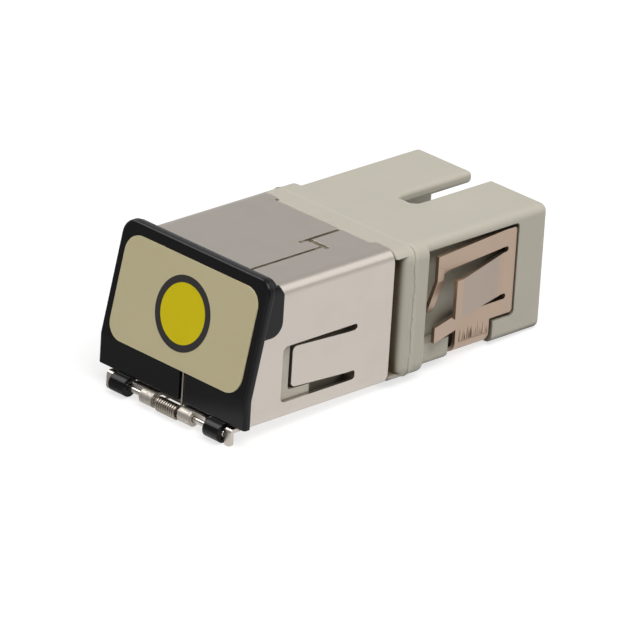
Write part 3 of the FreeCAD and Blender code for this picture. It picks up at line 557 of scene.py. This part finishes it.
@dataclass(frozen=True)
class FormedClip(RolledSheet):
    """Copper-alloy strip with the die's drag marks above the strap's bend and a painted greyer
    reflection on its tongues.
    """

    mark_width: float = 0.1 * MM
    mark_length: float = 30 * MM
    mark_edge: Pair = (0.45, 0.54)
    mark_span: Pair = (5.5 * MM, 8.35 * MM)
    mark_span_soft: float = 0.1 * MM
    mark_height: Pair = (-3.62 * MM, -3.05 * MM)
    mark_height_soft: float = 0.05 * MM
    mark_colour: Colour = (0.11, 0.07, 0.05)
    mark_tint: float = 0.9
    mark_gloss: float = 0.15
    ragged: Triple = (0.4 * MM, 0.15 * MM, 20 * MM)
    ragged_rise: float = 2.2 * MM
    ragged_lift: float = 0.2 * MM
    crease_height: Pair = (-3.74 * MM, -3.62 * MM)
    crease_soft: float = 0.03 * MM
    crease_wave: float = 0.12 * MM
    crease_tint: float = 0.4
    tongue_out: Pair = (6.3 * MM, 6.5 * MM)
    tongue_fold: Pair = (4.1 * MM, 4.3 * MM)
    tongue_root: Pair = (8.2 * MM, 9.8 * MM)
    tongue_height: Pair = (-1.5 * MM, 2.1 * MM)
    tongue_soft: float = 0.12 * MM
    # A greyer reflection is painted on the tongues' tilted outer faces.
    tongue_reflection_colour: Colour = (0.385, 0.325, 0.28)
    tongue_reflection_tint: float = 0.7

    def tongue(self, graph: Graph) -> Signal:
        """Return a mask of the tongues' outer faces, where a greyer reflection is painted.

        Args:
            graph: The material's nodes.

        Returns:
            The mask.
        """
        out = graph.step(graph.reach(Axis.ACROSS), *self.tongue_out)
        place = graph.axis(Axis.BACK)
        along = graph.step(place, *self.tongue_fold) - graph.step(place, *self.tongue_root)
        return out * along * graph.band(graph.axis(Axis.UP), *self.tongue_height, self.tongue_soft)

    def surface(self, graph: Graph) -> dict[str, Operand]:
        """Return the rolled strip with dark upright drag marks that end at a crease, and a painted
        reflection on the tongues.

        Args:
            graph: The material's nodes.

        Returns:
            The shader's inputs that change over the surface.
        """
        inputs = super().surface(graph)
        level = graph.axis(Axis.UP)
        under_strap = graph.band(graph.axis(Axis.BACK), *self.mark_span, self.mark_span_soft)
        ragged = graph.cloud(self.ragged, Detail.PLAIN) - NOISE_MEAN
        low, high = self.mark_height
        above = graph.step(level, low - self.mark_height_soft, low + self.mark_height_soft)
        past = graph.step(
            level + ragged * self.ragged_rise, low + self.ragged_lift, high + self.ragged_lift
        )
        inside = above * under_strap * (1 - past)
        drag = graph.cloud((self.mark_length, self.mark_width, self.mark_length), Detail.PLAIN)
        marks = graph.step(drag, *self.mark_edge) * inside
        waved = level + ragged * self.crease_wave
        crease = graph.band(waved, *self.crease_height, self.crease_soft) * under_strap
        # Painted reflection: the tongues' tilted faces are tinted greyer.
        painted_light = graph.tint(
            self.tongue(graph) * self.tongue_reflection_tint, inputs["Base Color"], rgba(self.tongue_reflection_colour)
        )
        marked = marks * self.mark_tint + crease * self.crease_tint
        inputs["Base Color"] = graph.tint(marked, painted_light, rgba(self.mark_colour))
        inputs["Roughness"] = inputs["Roughness"] + marks * self.mark_gloss
        return inputs


@dataclass(frozen=True)
class DrawnWire(Finish):
    """Drawn or ground steel with fine lines round it and a little uneven tint."""

    line: Triple = (0.03 * MM, 0.4 * MM, 0.4 * MM)
    line_depth: float = 0.0004 * MM
    line_gloss: float = 0.14
    patch: float = 0.8 * MM
    patch_edge: Pair = (0.4, 0.75)
    patch_tint: float = 0.5
    shade: Colour = (0.38, 0.35, 0.32)

    def surface(self, graph: Graph) -> dict[str, Operand]:
        """Return a lined metal.

        Args:
            graph: The material's nodes.

        Returns:
            The shader's inputs that change over the surface.
        """
        normal = graph.softened(self.edge)
        line = graph.cloud(self.line)
        patch = graph.step(graph.cloud((self.patch,) * 3, Detail.CLOUDY), *self.patch_edge)
        return {
            "Base Color": graph.tint(patch * self.patch_tint, rgba(self.colour), rgba(self.shade)),
            "Roughness": self.roughness + (line - NOISE_MEAN) * self.line_gloss,
            "Normal": graph.relief(line, self.line_depth, normal),
        }


@dataclass(frozen=True)
class PrintedFilm(Finish):
    """Film, ink or fired ceramic with a fine grain and faint unevenness."""

    grain: float = 0.05 * MM
    grain_depth: float = 0.0006 * MM
    grain_gloss: float = 0.12
    grain_share: float = 0.4
    patch: float = 4 * MM
    patch_share: float = 0.6
    shift: float = 0.04

    def surface(self, graph: Graph) -> dict[str, Operand]:
        """Return a faintly uneven colour.

        Args:
            graph: The material's nodes.

        Returns:
            The shader's inputs that change over the surface.
        """
        normal = graph.softened(self.edge)
        grain = graph.cloud((self.grain,) * 3)
        patch = graph.cloud((self.patch,) * 3)
        uneven = patch * self.patch_share + grain * self.grain_share
        dark, light = rgba(self.colour, 1 - self.shift), rgba(self.colour, 1 + self.shift)
        return {
            "Base Color": graph.tint(uneven, dark, light),
            "Roughness": self.roughness + (grain - NOISE_MEAN) * self.grain_gloss,
            "Normal": graph.relief(grain, self.grain_depth, normal),
        }


IVORY = WeldedPlastic("ivory_plastic", (0.60, 0.565, 0.47), 0.46, edge=0.08 * MM, crevice_shade_share=0.9)
INSERT = MouldedPlastic("insert_plastic", (0.64, 0.62, 0.55), 0.4)
BLACK = MouldedPlastic(
    "black_plastic", (0.004, 0.004, 0.0044), 0.16, specular=0.27, edge=0.13 * MM,
    flow_shift=0.15, grain_depth=0.0003 * MM,
)
CERAMIC = PrintedFilm("white_ceramic", (0.82, 0.81, 0.77), 0.16, shift=0.015)
SHIELD = HingedSheet("bright_steel", (0.64, 0.585, 0.525), 0.3, 1.0, edge=0.04 * MM)
PIN = DrawnWire("ground_steel", (0.66, 0.62, 0.57), 0.2, 1.0, edge=0.03 * MM)
SPRING = DrawnWire("spring_steel", (0.35, 0.31, 0.26), 0.26, 1.0, edge=0.01 * MM)
CLIP = FormedClip(
    "copper_alloy", (0.5, 0.378, 0.292), 0.34, 1.0, edge=0.04 * MM, shade=(0.42, 0.33, 0.265),
    streak=(0.06 * MM, 0.06 * MM, 5 * MM),
)
LABEL = PrintedFilm("beige_film", (0.795, 0.7, 0.422), 0.5, edge=0.02 * MM)
DOT_INK = PrintedFilm("yellow_ink", (0.96, 0.78, 0.0), 0.42, specular=0.3, edge=0.01 * MM)
RING_INK = PrintedFilm("dark_ink", (0.03, 0.026, 0.026), 0.45, edge=0.01 * MM, shift=0.2)
FLASH = MouldedPlastic("weld_flash", (0.625, 0.59, 0.495), 0.4, edge=0.02 * MM, flow=0.6 * MM)


@functools.cache
def material_of(finish: Finish) -> bpy.types.Material:
    """Return the one material of a finish."""
    return finish.make()


def dress_node(node: str, finish: Finish) -> None:
    """Give a solid of the frame its finish.

    Args:
        node: The solid's name.
        finish: Its finish.
    """
    piece = frame["nodes"][node]
    piece.data.materials.clear()
    piece.data.materials.append(material_of(finish))
    log.info("%s is dressed in %s", node, finish.name)


def add_piece(
    name: str, mesh: bmesh.types.BMesh, finish: Finish, body: Body
) -> bpy.types.Object:
    """Turn a finished mesh into a smooth piece that rides on a body.

    Args:
        name: The piece's name.
        mesh: Its mesh, in place, which is used up.
        finish: Its finish.
        body: The body that it moves with.

    Returns:
        The piece.
    """
    bmesh.ops.recalc_face_normals(mesh, faces=mesh.faces)
    for face in mesh.faces:
        face.smooth = True
    data = bpy.data.meshes.new(name)
    mesh.to_mesh(data)
    mesh.free()
    data.set_sharp_from_angle(angle=SHARP_FROM)
    data.materials.append(material_of(finish))
    piece = bpy.data.objects.new(name, data)
    bpy.context.scene.collection.objects.link(piece)
    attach(piece, body.value)
    log.info("%s has %d faces and rides on %s", name, len(data.polygons), body.value)
    return piece


class BentWire:
    """A round wire that is drawn along straight runs, bends and coils."""

    SIDES = 16
    STEP = math.radians(8)
    FEWEST_STEPS = 2
    CAP_INSET = 0.35
    CAP_RISE = 0.3

    def __init__(self, start: Vector, heading: Vector, radius: float) -> None:
        """Start a wire.

        Args:
            start: The middle of its first end.
            heading: The way that it leaves that end.
            radius: Half of its diameter.
        """
        self.mesh = bmesh.new()
        self.radius = radius
        facing = Matrix.Translation(start) @ heading.to_track_quat("Z", "Y").to_matrix().to_4x4()
        made = bmesh.ops.create_circle(
            self.mesh, cap_ends=False, segments=self.SIDES, radius=radius, matrix=facing
        )
        self.first = made["verts"]
        self.last = self._ring(self.first)

    @staticmethod
    def _ring(verts: list[bmesh.types.BMVert]) -> list[bmesh.types.BMEdge]:
        """Return the edges that run from one to another of the given points."""
        near = dict.fromkeys(edge for vert in verts for edge in vert.link_edges)
        return [edge for edge in near if all(end in verts for end in edge.verts)]

    def run(self, along: Vector) -> None:
        """Draw the wire straight on.

        Args:
            along: The way from its last end to the new one.
        """
        made = bmesh.ops.extrude_edge_only(self.mesh, edges=self.last)["geom"]
        moved = [item for item in made if isinstance(item, bmesh.types.BMVert)]
        bmesh.ops.translate(self.mesh, verts=moved, vec=along)
        self.last = self._ring(moved)

    def turn(self, centre: Vector, axis: Vector, angle: float, advance: float = 0.0) -> None:
        """Draw the wire round an axis.

        Args:
            centre: A point of the axis.
            axis: Its direction.
            angle: How far to turn.
            advance: How far to move along the axis meanwhile.
        """
        steps = max(self.FEWEST_STEPS, math.ceil(abs(angle) / self.STEP))
        made = bmesh.ops.spin(
            self.mesh, geom=self.last, cent=centre, axis=axis, dvec=axis * (advance / steps),
            angle=angle, steps=steps, use_merge=False, use_duplicate=False,
        )
        self.last = [item for item in made["geom_last"] if isinstance(item, bmesh.types.BMEdge)]

    def close(self) -> bmesh.types.BMesh:
        """Cap both ends with a small rounding.

        Returns:
            The finished mesh.
        """
        inset, rise = self.radius * self.CAP_INSET, self.radius * self.CAP_RISE
        for ring in (self._ring(self.first), self.last):
            cap = bmesh.ops.contextual_create(self.mesh, geom=ring)["faces"]
            bmesh.ops.inset_region(self.mesh, faces=cap, thickness=inset, depth=rise)
        return self.mesh


@dataclass(frozen=True)
class FlashRow:
    """One line round the flash, above and beside the halves.

    Both places are how far back the line lies and how far it stands out of the halves.
    """

    above: Pair
    beside: Pair
    ragged: float


@dataclass
class HousingHalves:
    """The two welded ivory halves, what they hold and the ragged line of their weld."""

    flash_rows: tuple[FlashRow, ...] = (
        FlashRow((-0.2 * MM, -0.004 * MM), (-0.2 * MM, -0.004 * MM), 0.0),
        FlashRow((0.1 * MM, 0.004 * MM), (0.1 * MM, -0.004 * MM), 1.0),
        FlashRow((0.14 * MM, 0.004 * MM), (0.11 * MM, 0.075 * MM), 1.0),
        FlashRow((0.5 * MM, -0.012 * MM), (0.6 * MM, -0.012 * MM), 0.0),
    )
    flash_width: float = 0.6 * MM
    flash_depth: float = 0.14 * MM
    wander: float = 0.16 * MM
    wander_sizes: Pair = (0.8 * MM, 0.25 * MM)
    wander_fine: float = 0.6
    uneven: float = 0.6
    uneven_sizes: Pair = (0.9 * MM, 0.3 * MM)
    uneven_fine: float = 0.5
    corner: float = 1.0 * MM
    corner_steps: int = 8
    cuts: int = 70

    def build(self) -> None:
        """Build the ring of plastic that the weld pressed out of the joint."""
        low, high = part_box("rear_housing")
        mesh = bmesh.new()
        bmesh.ops.create_cube(mesh, size=1.0)
        size = Vector((high.x - low.x, self.flash_width, high.z - low.z))
        bmesh.ops.scale(mesh, verts=mesh.verts, vec=size)
        ends = [face for face in mesh.faces if abs(face.normal.y) > ALIGNED]
        bmesh.ops.delete(mesh, geom=ends, context="FACES_ONLY")
        along = [edge for edge in mesh.edges if self._runs_along(edge)]
        bmesh.ops.bevel(
            mesh, geom=along, offset=self.corner, offset_type="OFFSET", affect="EDGES",
            segments=self.corner_steps, profile=0.5, material=-1,
        )
        around = [edge for edge in mesh.edges if not self._runs_along(edge)]
        flat = [edge for edge in around if edge.calc_length() > self.corner]
        bmesh.ops.subdivide_edges(mesh, edges=flat, cuts=self.cuts, use_grid_fill=False)
        across = [edge for edge in mesh.edges if self._runs_along(edge)]
        spans = len(self.flash_rows) - 1
        bmesh.ops.subdivide_edges(mesh, edges=across, cuts=spans - 1)
        for vert in mesh.verts:
            place = round((vert.co.y / self.flash_width + 0.5) * spans)
            self._shape(vert, self.flash_rows[place])
        bmesh.ops.recalc_face_normals(mesh, faces=mesh.faces)
        bmesh.ops.solidify(mesh, geom=mesh.faces[:], thickness=self.flash_depth)
        add_piece("weld_flash", mesh, FLASH, Body.COUPLER)

    @staticmethod
    def _runs_along(edge: bmesh.types.BMEdge) -> bool:
        """Tell whether an edge runs along the optical axis."""
        start, end = (vert.co for vert in edge.verts)
        return abs(end.y - start.y) > ALIGNED * (end - start).length

    @staticmethod
    def _ragged(place: Vector, sizes: Pair, share: float) -> float:
        """Return noise of two sizes at a place, the finer one by its share."""
        coarse, fine = (noise.noise(place / size) for size in sizes)
        return coarse + share * fine

    def _shape(self, vert: bmesh.types.BMVert, row: FlashRow) -> None:
        """Move a point of the flash to its row, off a straight line where the row is ragged.

        Args:
            vert: The point.
            row: Its row.
        """
        flat = Vector((vert.co.x, 0.0, vert.co.z))
        past_corner = (abs(vert.co.x) - abs(vert.co.z) - self.corner) / self.corner
        on_side = min(1.0, max(0.0, past_corner))
        back, rise = (high + (side - high) * on_side for high, side in zip(row.above, row.beside))
        swell = self.uneven * row.ragged * self._ragged(flat, self.uneven_sizes, self.uneven_fine)
        sway = self._ragged(flat, self.wander_sizes, self.wander_fine)
        vert.co = flat + flat.normalized() * rise * (1 + swell)
        vert.co.y = back + self.wander * sway * row.ragged * on_side

    def dress(self) -> None:
        """Dress the halves, the inserts and the sleeve."""
        for node in ("rear_housing", "front_housing"):
            dress_node(node, IVORY)
        for node in ("rear_latch_insert", "front_latch_insert"):
            dress_node(node, INSERT)
        dress_node("alignment_sleeve", CERAMIC)


@dataclass
class Shield:
    """The folded steel sleeve and the pin of its hinge."""

    def dress(self) -> None:
        """Dress the sleeve and the pin."""
        dress_node("shield", SHIELD)
        dress_node("hinge_pin", PIN)


@dataclass
class PanelClip:
    """The folded copper-alloy saddle clip."""

    def dress(self) -> None:
        """Dress the clip."""
        dress_node("panel_clip", CLIP)


@dataclass
class ShutterDoor:
    """The black sprung door with its bonded label and the round mark printed on it."""

    tilt: float = math.radians(12.33)
    dot_radius: float = 2.15 * MM
    ring_radius: float = 2.6 * MM
    ink: float = 0.012 * MM
    sunk: float = 0.03 * MM
    overlap: float = 0.05 * MM
    segments: int = 96

    def dress(self) -> None:
        """Dress the door and its label."""
        dress_node("shutter_door", BLACK)
        dress_node("door_label", LABEL)

    def _label_face(self) -> Matrix:
        """Find the label's face.

        Returns:
            The face's frame: its middle, with Z along its normal.
        """
        low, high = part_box("door_label")
        length = (high.z - low.z) / math.cos(self.tilt)
        thickness = ((high.y - low.y) - length * math.sin(self.tilt)) / math.cos(self.tilt)
        normal = Vector((0.0, -math.cos(self.tilt), math.sin(self.tilt)))
        middle = (low + high) / 2 + normal * (thickness / 2)
        return Matrix.Translation(middle) @ normal.to_track_quat("Z", "Y").to_matrix().to_4x4()

    def _disc(self, radius: float, base: Matrix) -> bmesh.types.BMesh:
        """Start a round mark.

        Args:
            radius: The mark's radius.
            base: The frame that it lies in.

        Returns:
            A flat disc.
        """
        mesh = bmesh.new()
        bmesh.ops.create_circle(
            mesh, cap_ends=True, segments=self.segments, radius=radius, matrix=base
        )
        return mesh

    def _print(self, mesh: bmesh.types.BMesh, normal: Vector, ink: float) -> None:
        """Raise a flat outline that is sunk in the label until it stands proud of it.

        Args:
            mesh: The outline.
            normal: The label's normal.
            ink: How far the outline stands proud.
        """
        made = bmesh.ops.extrude_face_region(mesh, geom=mesh.faces[:])["geom"]
        raised = [item for item in made if isinstance(item, bmesh.types.BMVert)]
        bmesh.ops.translate(mesh, verts=raised, vec=normal * (self.sunk + ink))

    def build(self) -> None:
        """Print the yellow dot and its dark ring on the label."""
        face = self._label_face()
        normal = face.to_3x3().col[2].normalized()
        base = Matrix.Translation(-normal * self.sunk) @ face
        dot = self._disc(self.dot_radius, base)
        self._print(dot, normal, self.ink / 2)
        add_piece("label_dot", dot, DOT_INK, Body.SHUTTER)

        ring = self._disc(self.ring_radius, base)
        width = self.ring_radius - self.dot_radius + self.overlap
        bmesh.ops.inset_region(ring, faces=ring.faces[:], thickness=width, use_boundary=True)
        middle = max(ring.faces, key=lambda item: len(item.verts))
        bmesh.ops.delete(ring, geom=[middle], context="FACES_ONLY")
        self._print(ring, normal, self.ink)
        add_piece("label_ring", ring, RING_INK, Body.SHUTTER)


@dataclass
class TorsionSpring:
    """The wire spring round the hinge pin, with one leg under the plate and one on the door."""

    wire: float = 0.18 * MM
    mean_radius: float = 0.43 * MM
    sag: float = 0.11 * MM
    pitch: float = 0.21 * MM
    whole_turns: int = 9
    part_turn: float = 0.25
    plate_leg: float = 2.2 * MM
    plate_leg_level: float = 0.24 * MM
    plate_leg_joins: float = math.radians(45)
    door_leg_back: float = 0.22 * MM
    door_leg_bend: float = 0.2 * MM
    door_leg_tail: float = math.radians(130)
    tail_shrink: float = 0.97

    def _axis(self) -> Vector:
        """Return the middle of the coil, which hangs on the hinge pin."""
        return Vector(frame["joints"][0]["pos_m"]) - Vector((0.0, 0.0, self.sag))

    def _advance(self, angle: float) -> float:
        """Return how far the coil moves along its axis over an angle."""
        return self.pitch * angle / FULL_TURN

    def _on_coil(self, angle: float) -> Vector:
        """Find a place on the coil.

        Args:
            angle: The place's angle, counted from behind the axis, upwards.

        Returns:
            The middle of the wire there.
        """
        along = -self.pitch * (self.whole_turns + self.part_turn) / 2 + self._advance(angle)
        back, up = self.mean_radius * math.cos(angle), self.mean_radius * math.sin(angle)
        return self._axis() + Vector((along, back, up))

    @staticmethod
    def _round_coil(angle: float) -> Vector:
        """Return the wire's heading at an angle of the coil."""
        return Vector((0.0, -math.sin(angle), math.cos(angle)))

    def _leave_angle(self) -> float:
        """Return the angle of the coil at which the door's leg leaves it."""
        share = (self.door_leg_back + self.door_leg_bend) / (self.mean_radius + self.door_leg_bend)
        return self.whole_turns * FULL_TURN + math.acos(share)

    def build(self) -> None:
        """Bend the coil with its plate leg, and the leg that follows the door."""
        across = Vector((1.0, 0.0, 0.0))
        axis = self._axis()
        leave = self._leave_angle()
        join = self.plate_leg_joins
        meet = self._on_coil(join) - axis
        bend = (meet.z - self.plate_leg_level) / (1 - math.cos(join))
        bend_start = meet.y + bend * math.sin(join)
        far = axis + Vector((meet.x, self.plate_leg, self.plate_leg_level))
        coil = BentWire(far, Vector((0.0, -1.0, 0.0)), self.wire / 2)
        coil.run(Vector((0.0, bend_start - self.plate_leg, 0.0)))
        knee = axis + Vector((meet.x, bend_start, self.plate_leg_level + bend))
        coil.turn(knee, across, -join)
        coil.turn(axis, across, leave - join, self._advance(leave - join))
        piece = add_piece("spring_coil", coil.close(), SPRING, Body.COUPLER)
        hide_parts("torsion_spring")

        tail = self.door_leg_tail
        start, end = self._on_coil(leave - tail), self._on_coil(leave)
        leg = BentWire(start, self._round_coil(leave - tail), self.wire / 2 * self.tail_shrink)
        leg.turn(axis, across, tail, self._advance(tail))
        out = end + (end - axis) * (self.door_leg_bend / self.mean_radius)
        out.x = end.x
        leg.turn(out, across, -(leave - self.whole_turns * FULL_TURN))
        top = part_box("torsion_spring")[1].z
        reached = max(vert.co.z for edge in leg.last for vert in edge.verts)
        leg.run(Vector((0.0, 0.0, top - reached)))
        add_piece("spring_door_leg", leg.close(), SPRING, Body.SHUTTER)


@dataclass
class Studio:
    """The pale floor, the soft light and the camera."""

    camera_at: Triple = (0.310256, -0.315368, 0.188035)
    camera_right: Triple = (0.692135, 0.719443, 0.057883)
    camera_up: Triple = (-0.322896, 0.236918, 0.916301)
    camera_back: Triple = (0.645513, -0.652894, 0.396285)
    lens_mm: float = 398.28
    ear_foot: Pair = (-15.3 * MM, -5.9 * MM)
    rear_foot: Pair = (13.05 * MM, -4.6 * MM)
    floor_size: float = 8.0
    floor_fall: float = math.radians(6.5)
    floor_colour: Colour = (0.42, 0.42, 0.42)
    floor_glow: float = 0.7
    floor_mirrored: float = 0.54
    dim_front: Pair = (-23 * MM, -17 * MM)
    sky_level: float = 0.44
    sky_low: float = 0.95
    sky_high: float = 0.68
    sky_rise: Pair = (0.12, 0.34)
    dark_camera: Pair = (0.75, 0.95)
    dark_left_from: Triple = (-0.6455, -0.703, 0.298)
    dark_left: Pair = (0.84, 0.95)
    dark_level: float = 0.42
    strip_from: Triple = (-0.6455, -0.225, 0.73)
    strip_edge: Pair = (0.92, 0.97)
    strip_level: float = 3.4
    key_from: Triple = (0.4, -0.15, 0.904)
    key_distance: float = 0.7
    key_size: float = 0.5
    key_radiance: float = 4.6
    back_from: Triple = (0.36, 0.653, 0.668)
    back_distance: float = 0.6
    back_size: float = 0.46
    back_radiance: float = 0.65

    def build_camera(self) -> None:
        """Set the camera where the photograph was taken from."""
        data = bpy.data.cameras.new("camera")
        data.lens = self.lens_mm
        camera = bpy.data.objects.new("camera", data)
        columns = (self.camera_right, self.camera_up, self.camera_back)
        turn = Matrix([Vector(column) for column in columns]).transposed().to_4x4()
        camera.matrix_world = Matrix.Translation(Vector(self.camera_at)) @ turn
        bpy.context.scene.collection.objects.link(camera)
        bpy.context.scene.camera = camera

    def _floor_glow(self, graph: Graph) -> Signal:
        """Work out the floor's own light.

        Args:
            graph: The floor's nodes.

        Returns:
            White where the floor is seen, and dimmer to the front where it is mirrored.
        """
        seen, mirrored, passed = (
            graph.add("ShaderNodeLightPath", output=name)
            for name in ("Is Camera Ray", "Is Glossy Ray", "Is Transmission Ray")
        )
        behind = graph.step(graph.axis(Axis.ACROSS) + graph.axis(Axis.BACK), *self.dim_front)
        return (seen + passed) * self.floor_glow + mirrored * behind * self.floor_mirrored

    def _floor_material(self) -> bpy.types.Material:
        """Make the floor pale and matt, so that it keeps the shadow.

        Returns:
            The floor's material.
        """
        material = bpy.data.materials.new("pale_floor")
        material.use_nodes = True
        graph = Graph(material.node_tree)
        matt = graph.add("ShaderNodeBsdfDiffuse", None, {"Color": rgba(self.floor_colour)})
        glow = graph.add("ShaderNodeEmission", None, {"Strength": self._floor_glow(graph)})
        both = graph.add("ShaderNodeAddShader", None, {0: matt, 1: glow})
        graph.add("ShaderNodeOutputMaterial", None, {"Surface": both})
        return material

    def build_floor(self) -> None:
        """Lay the floor under the ears and the rear edge, falling away in front for the door."""
        toe = Vector((0.0, *self.ear_foot))
        heel = Vector((0.0, *self.rear_foot))
        turn = (heel - toe).to_track_quat("Y", "Z").to_matrix().to_4x4()
        normal = turn.to_3x3().col[2]
        solids = (piece.data.vertices for piece in frame["nodes"].values())
        level = min(normal.dot(vert.co) for verts in solids for vert in verts)
        brow = toe + normal * (level - normal.dot(toe))
        laid = Matrix.Translation(brow) @ turn
        mesh = bmesh.new()
        bmesh.ops.create_grid(
            mesh, x_segments=1, y_segments=2, size=self.floor_size / 2, matrix=laid
        )
        ahead = [vert for vert in mesh.verts if vert.co.y < brow.y - MM]
        fall = Matrix.Rotation(self.floor_fall, 3, "X")
        bmesh.ops.rotate(mesh, verts=ahead, cent=brow, matrix=fall)
        data = bpy.data.meshes.new("floor")
        mesh.to_mesh(data)
        mesh.free()
        data.materials.append(self._floor_material())
        floor = bpy.data.objects.new("floor", data)
        bpy.context.scene.collection.objects.link(floor)

    def build_sky(self) -> None:
        """Light the scene evenly; metal mirrors a bright horizon, two dark places and a strip."""
        world = bpy.data.worlds.new("studio")
        world.use_nodes = True
        bpy.context.scene.world = world
        graph = Graph(world.node_tree)
        way = graph.add("ShaderNodeTexCoord", output="Generated")
        height = graph.part(way, Axis.UP)
        level = self.sky_low - graph.step(height, *self.sky_rise) * (self.sky_low - self.sky_high)
        aims = (self.camera_back, self.dark_left_from, self.strip_from)
        to_camera, to_left, to_strip = (graph.along(way, aim) for aim in aims)
        dark = graph.step(to_camera, *self.dark_camera) + graph.step(to_left, *self.dark_left)
        even = level * (1 - dark * (1 - self.dark_level))
        mirrored = even + graph.step(to_strip, *self.strip_edge) * self.strip_level
        glossy = graph.add("ShaderNodeLightPath", output="Is Glossy Ray")
        camera = graph.add("ShaderNodeLightPath", output="Is Camera Ray")
        lit = self.sky_level + glossy * (mirrored - self.sky_level)
        strength = lit + camera * (1 - self.sky_level)
        glow = graph.add("ShaderNodeBackground", None, {"Strength": strength})
        graph.add("ShaderNodeOutputWorld", None, {"Surface": glow})

    @staticmethod
    def _hang(name: str, way: Triple, distance: float, size: float, radiance: float) -> None:
        """Hang a round soft lamp that faces the origin.

        Args:
            name: The lamp's name.
            way: Where it hangs, as a direction from the origin.
            distance: How far it hangs from the origin.
            size: Its diameter.
            radiance: How bright its face is, where 1 is white.
        """
        lamp = bpy.data.lights.new(name, "AREA")
        lamp.shape = "DISK"
        lamp.size = size
        lamp.energy = radiance * math.pi * math.pi * (size / 2) ** 2
        toward = Vector(way).normalized()
        holder = bpy.data.objects.new(name, lamp)
        turn = toward.to_track_quat("Z", "Y").to_matrix().to_4x4()
        holder.matrix_world = Matrix.Translation(toward * distance) @ turn
        bpy.context.scene.collection.objects.link(holder)

    def build_lamps(self) -> None:
        """Hang one large soft lamp above the front and a smaller one behind."""
        key = (self.key_from, self.key_distance, self.key_size, self.key_radiance)
        back = (self.back_from, self.back_distance, self.back_size, self.back_radiance)
        self._hang("front_lamp", *key)
        self._hang("back_lamp", *back)

    def build(self) -> None:
        """Build the whole studio."""
        self.build_camera()
        self.build_floor()
        self.build_sky()
        self.build_lamps()
        bpy.context.scene.view_settings.view_transform = "Standard"


def main() -> None:
    """Build and dress every sub-assembly in order."""
    logging.basicConfig(level=logging.INFO, format="%(name)s: %(message)s")
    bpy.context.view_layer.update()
    Studio().build()
    halves = HousingHalves()
    halves.build()
    halves.dress()
    Shield().dress()
    PanelClip().dress()
    door = ShutterDoor()
    door.dress()
    door.build()
    TorsionSpring().build()


if __name__ == "__main__":
    main()
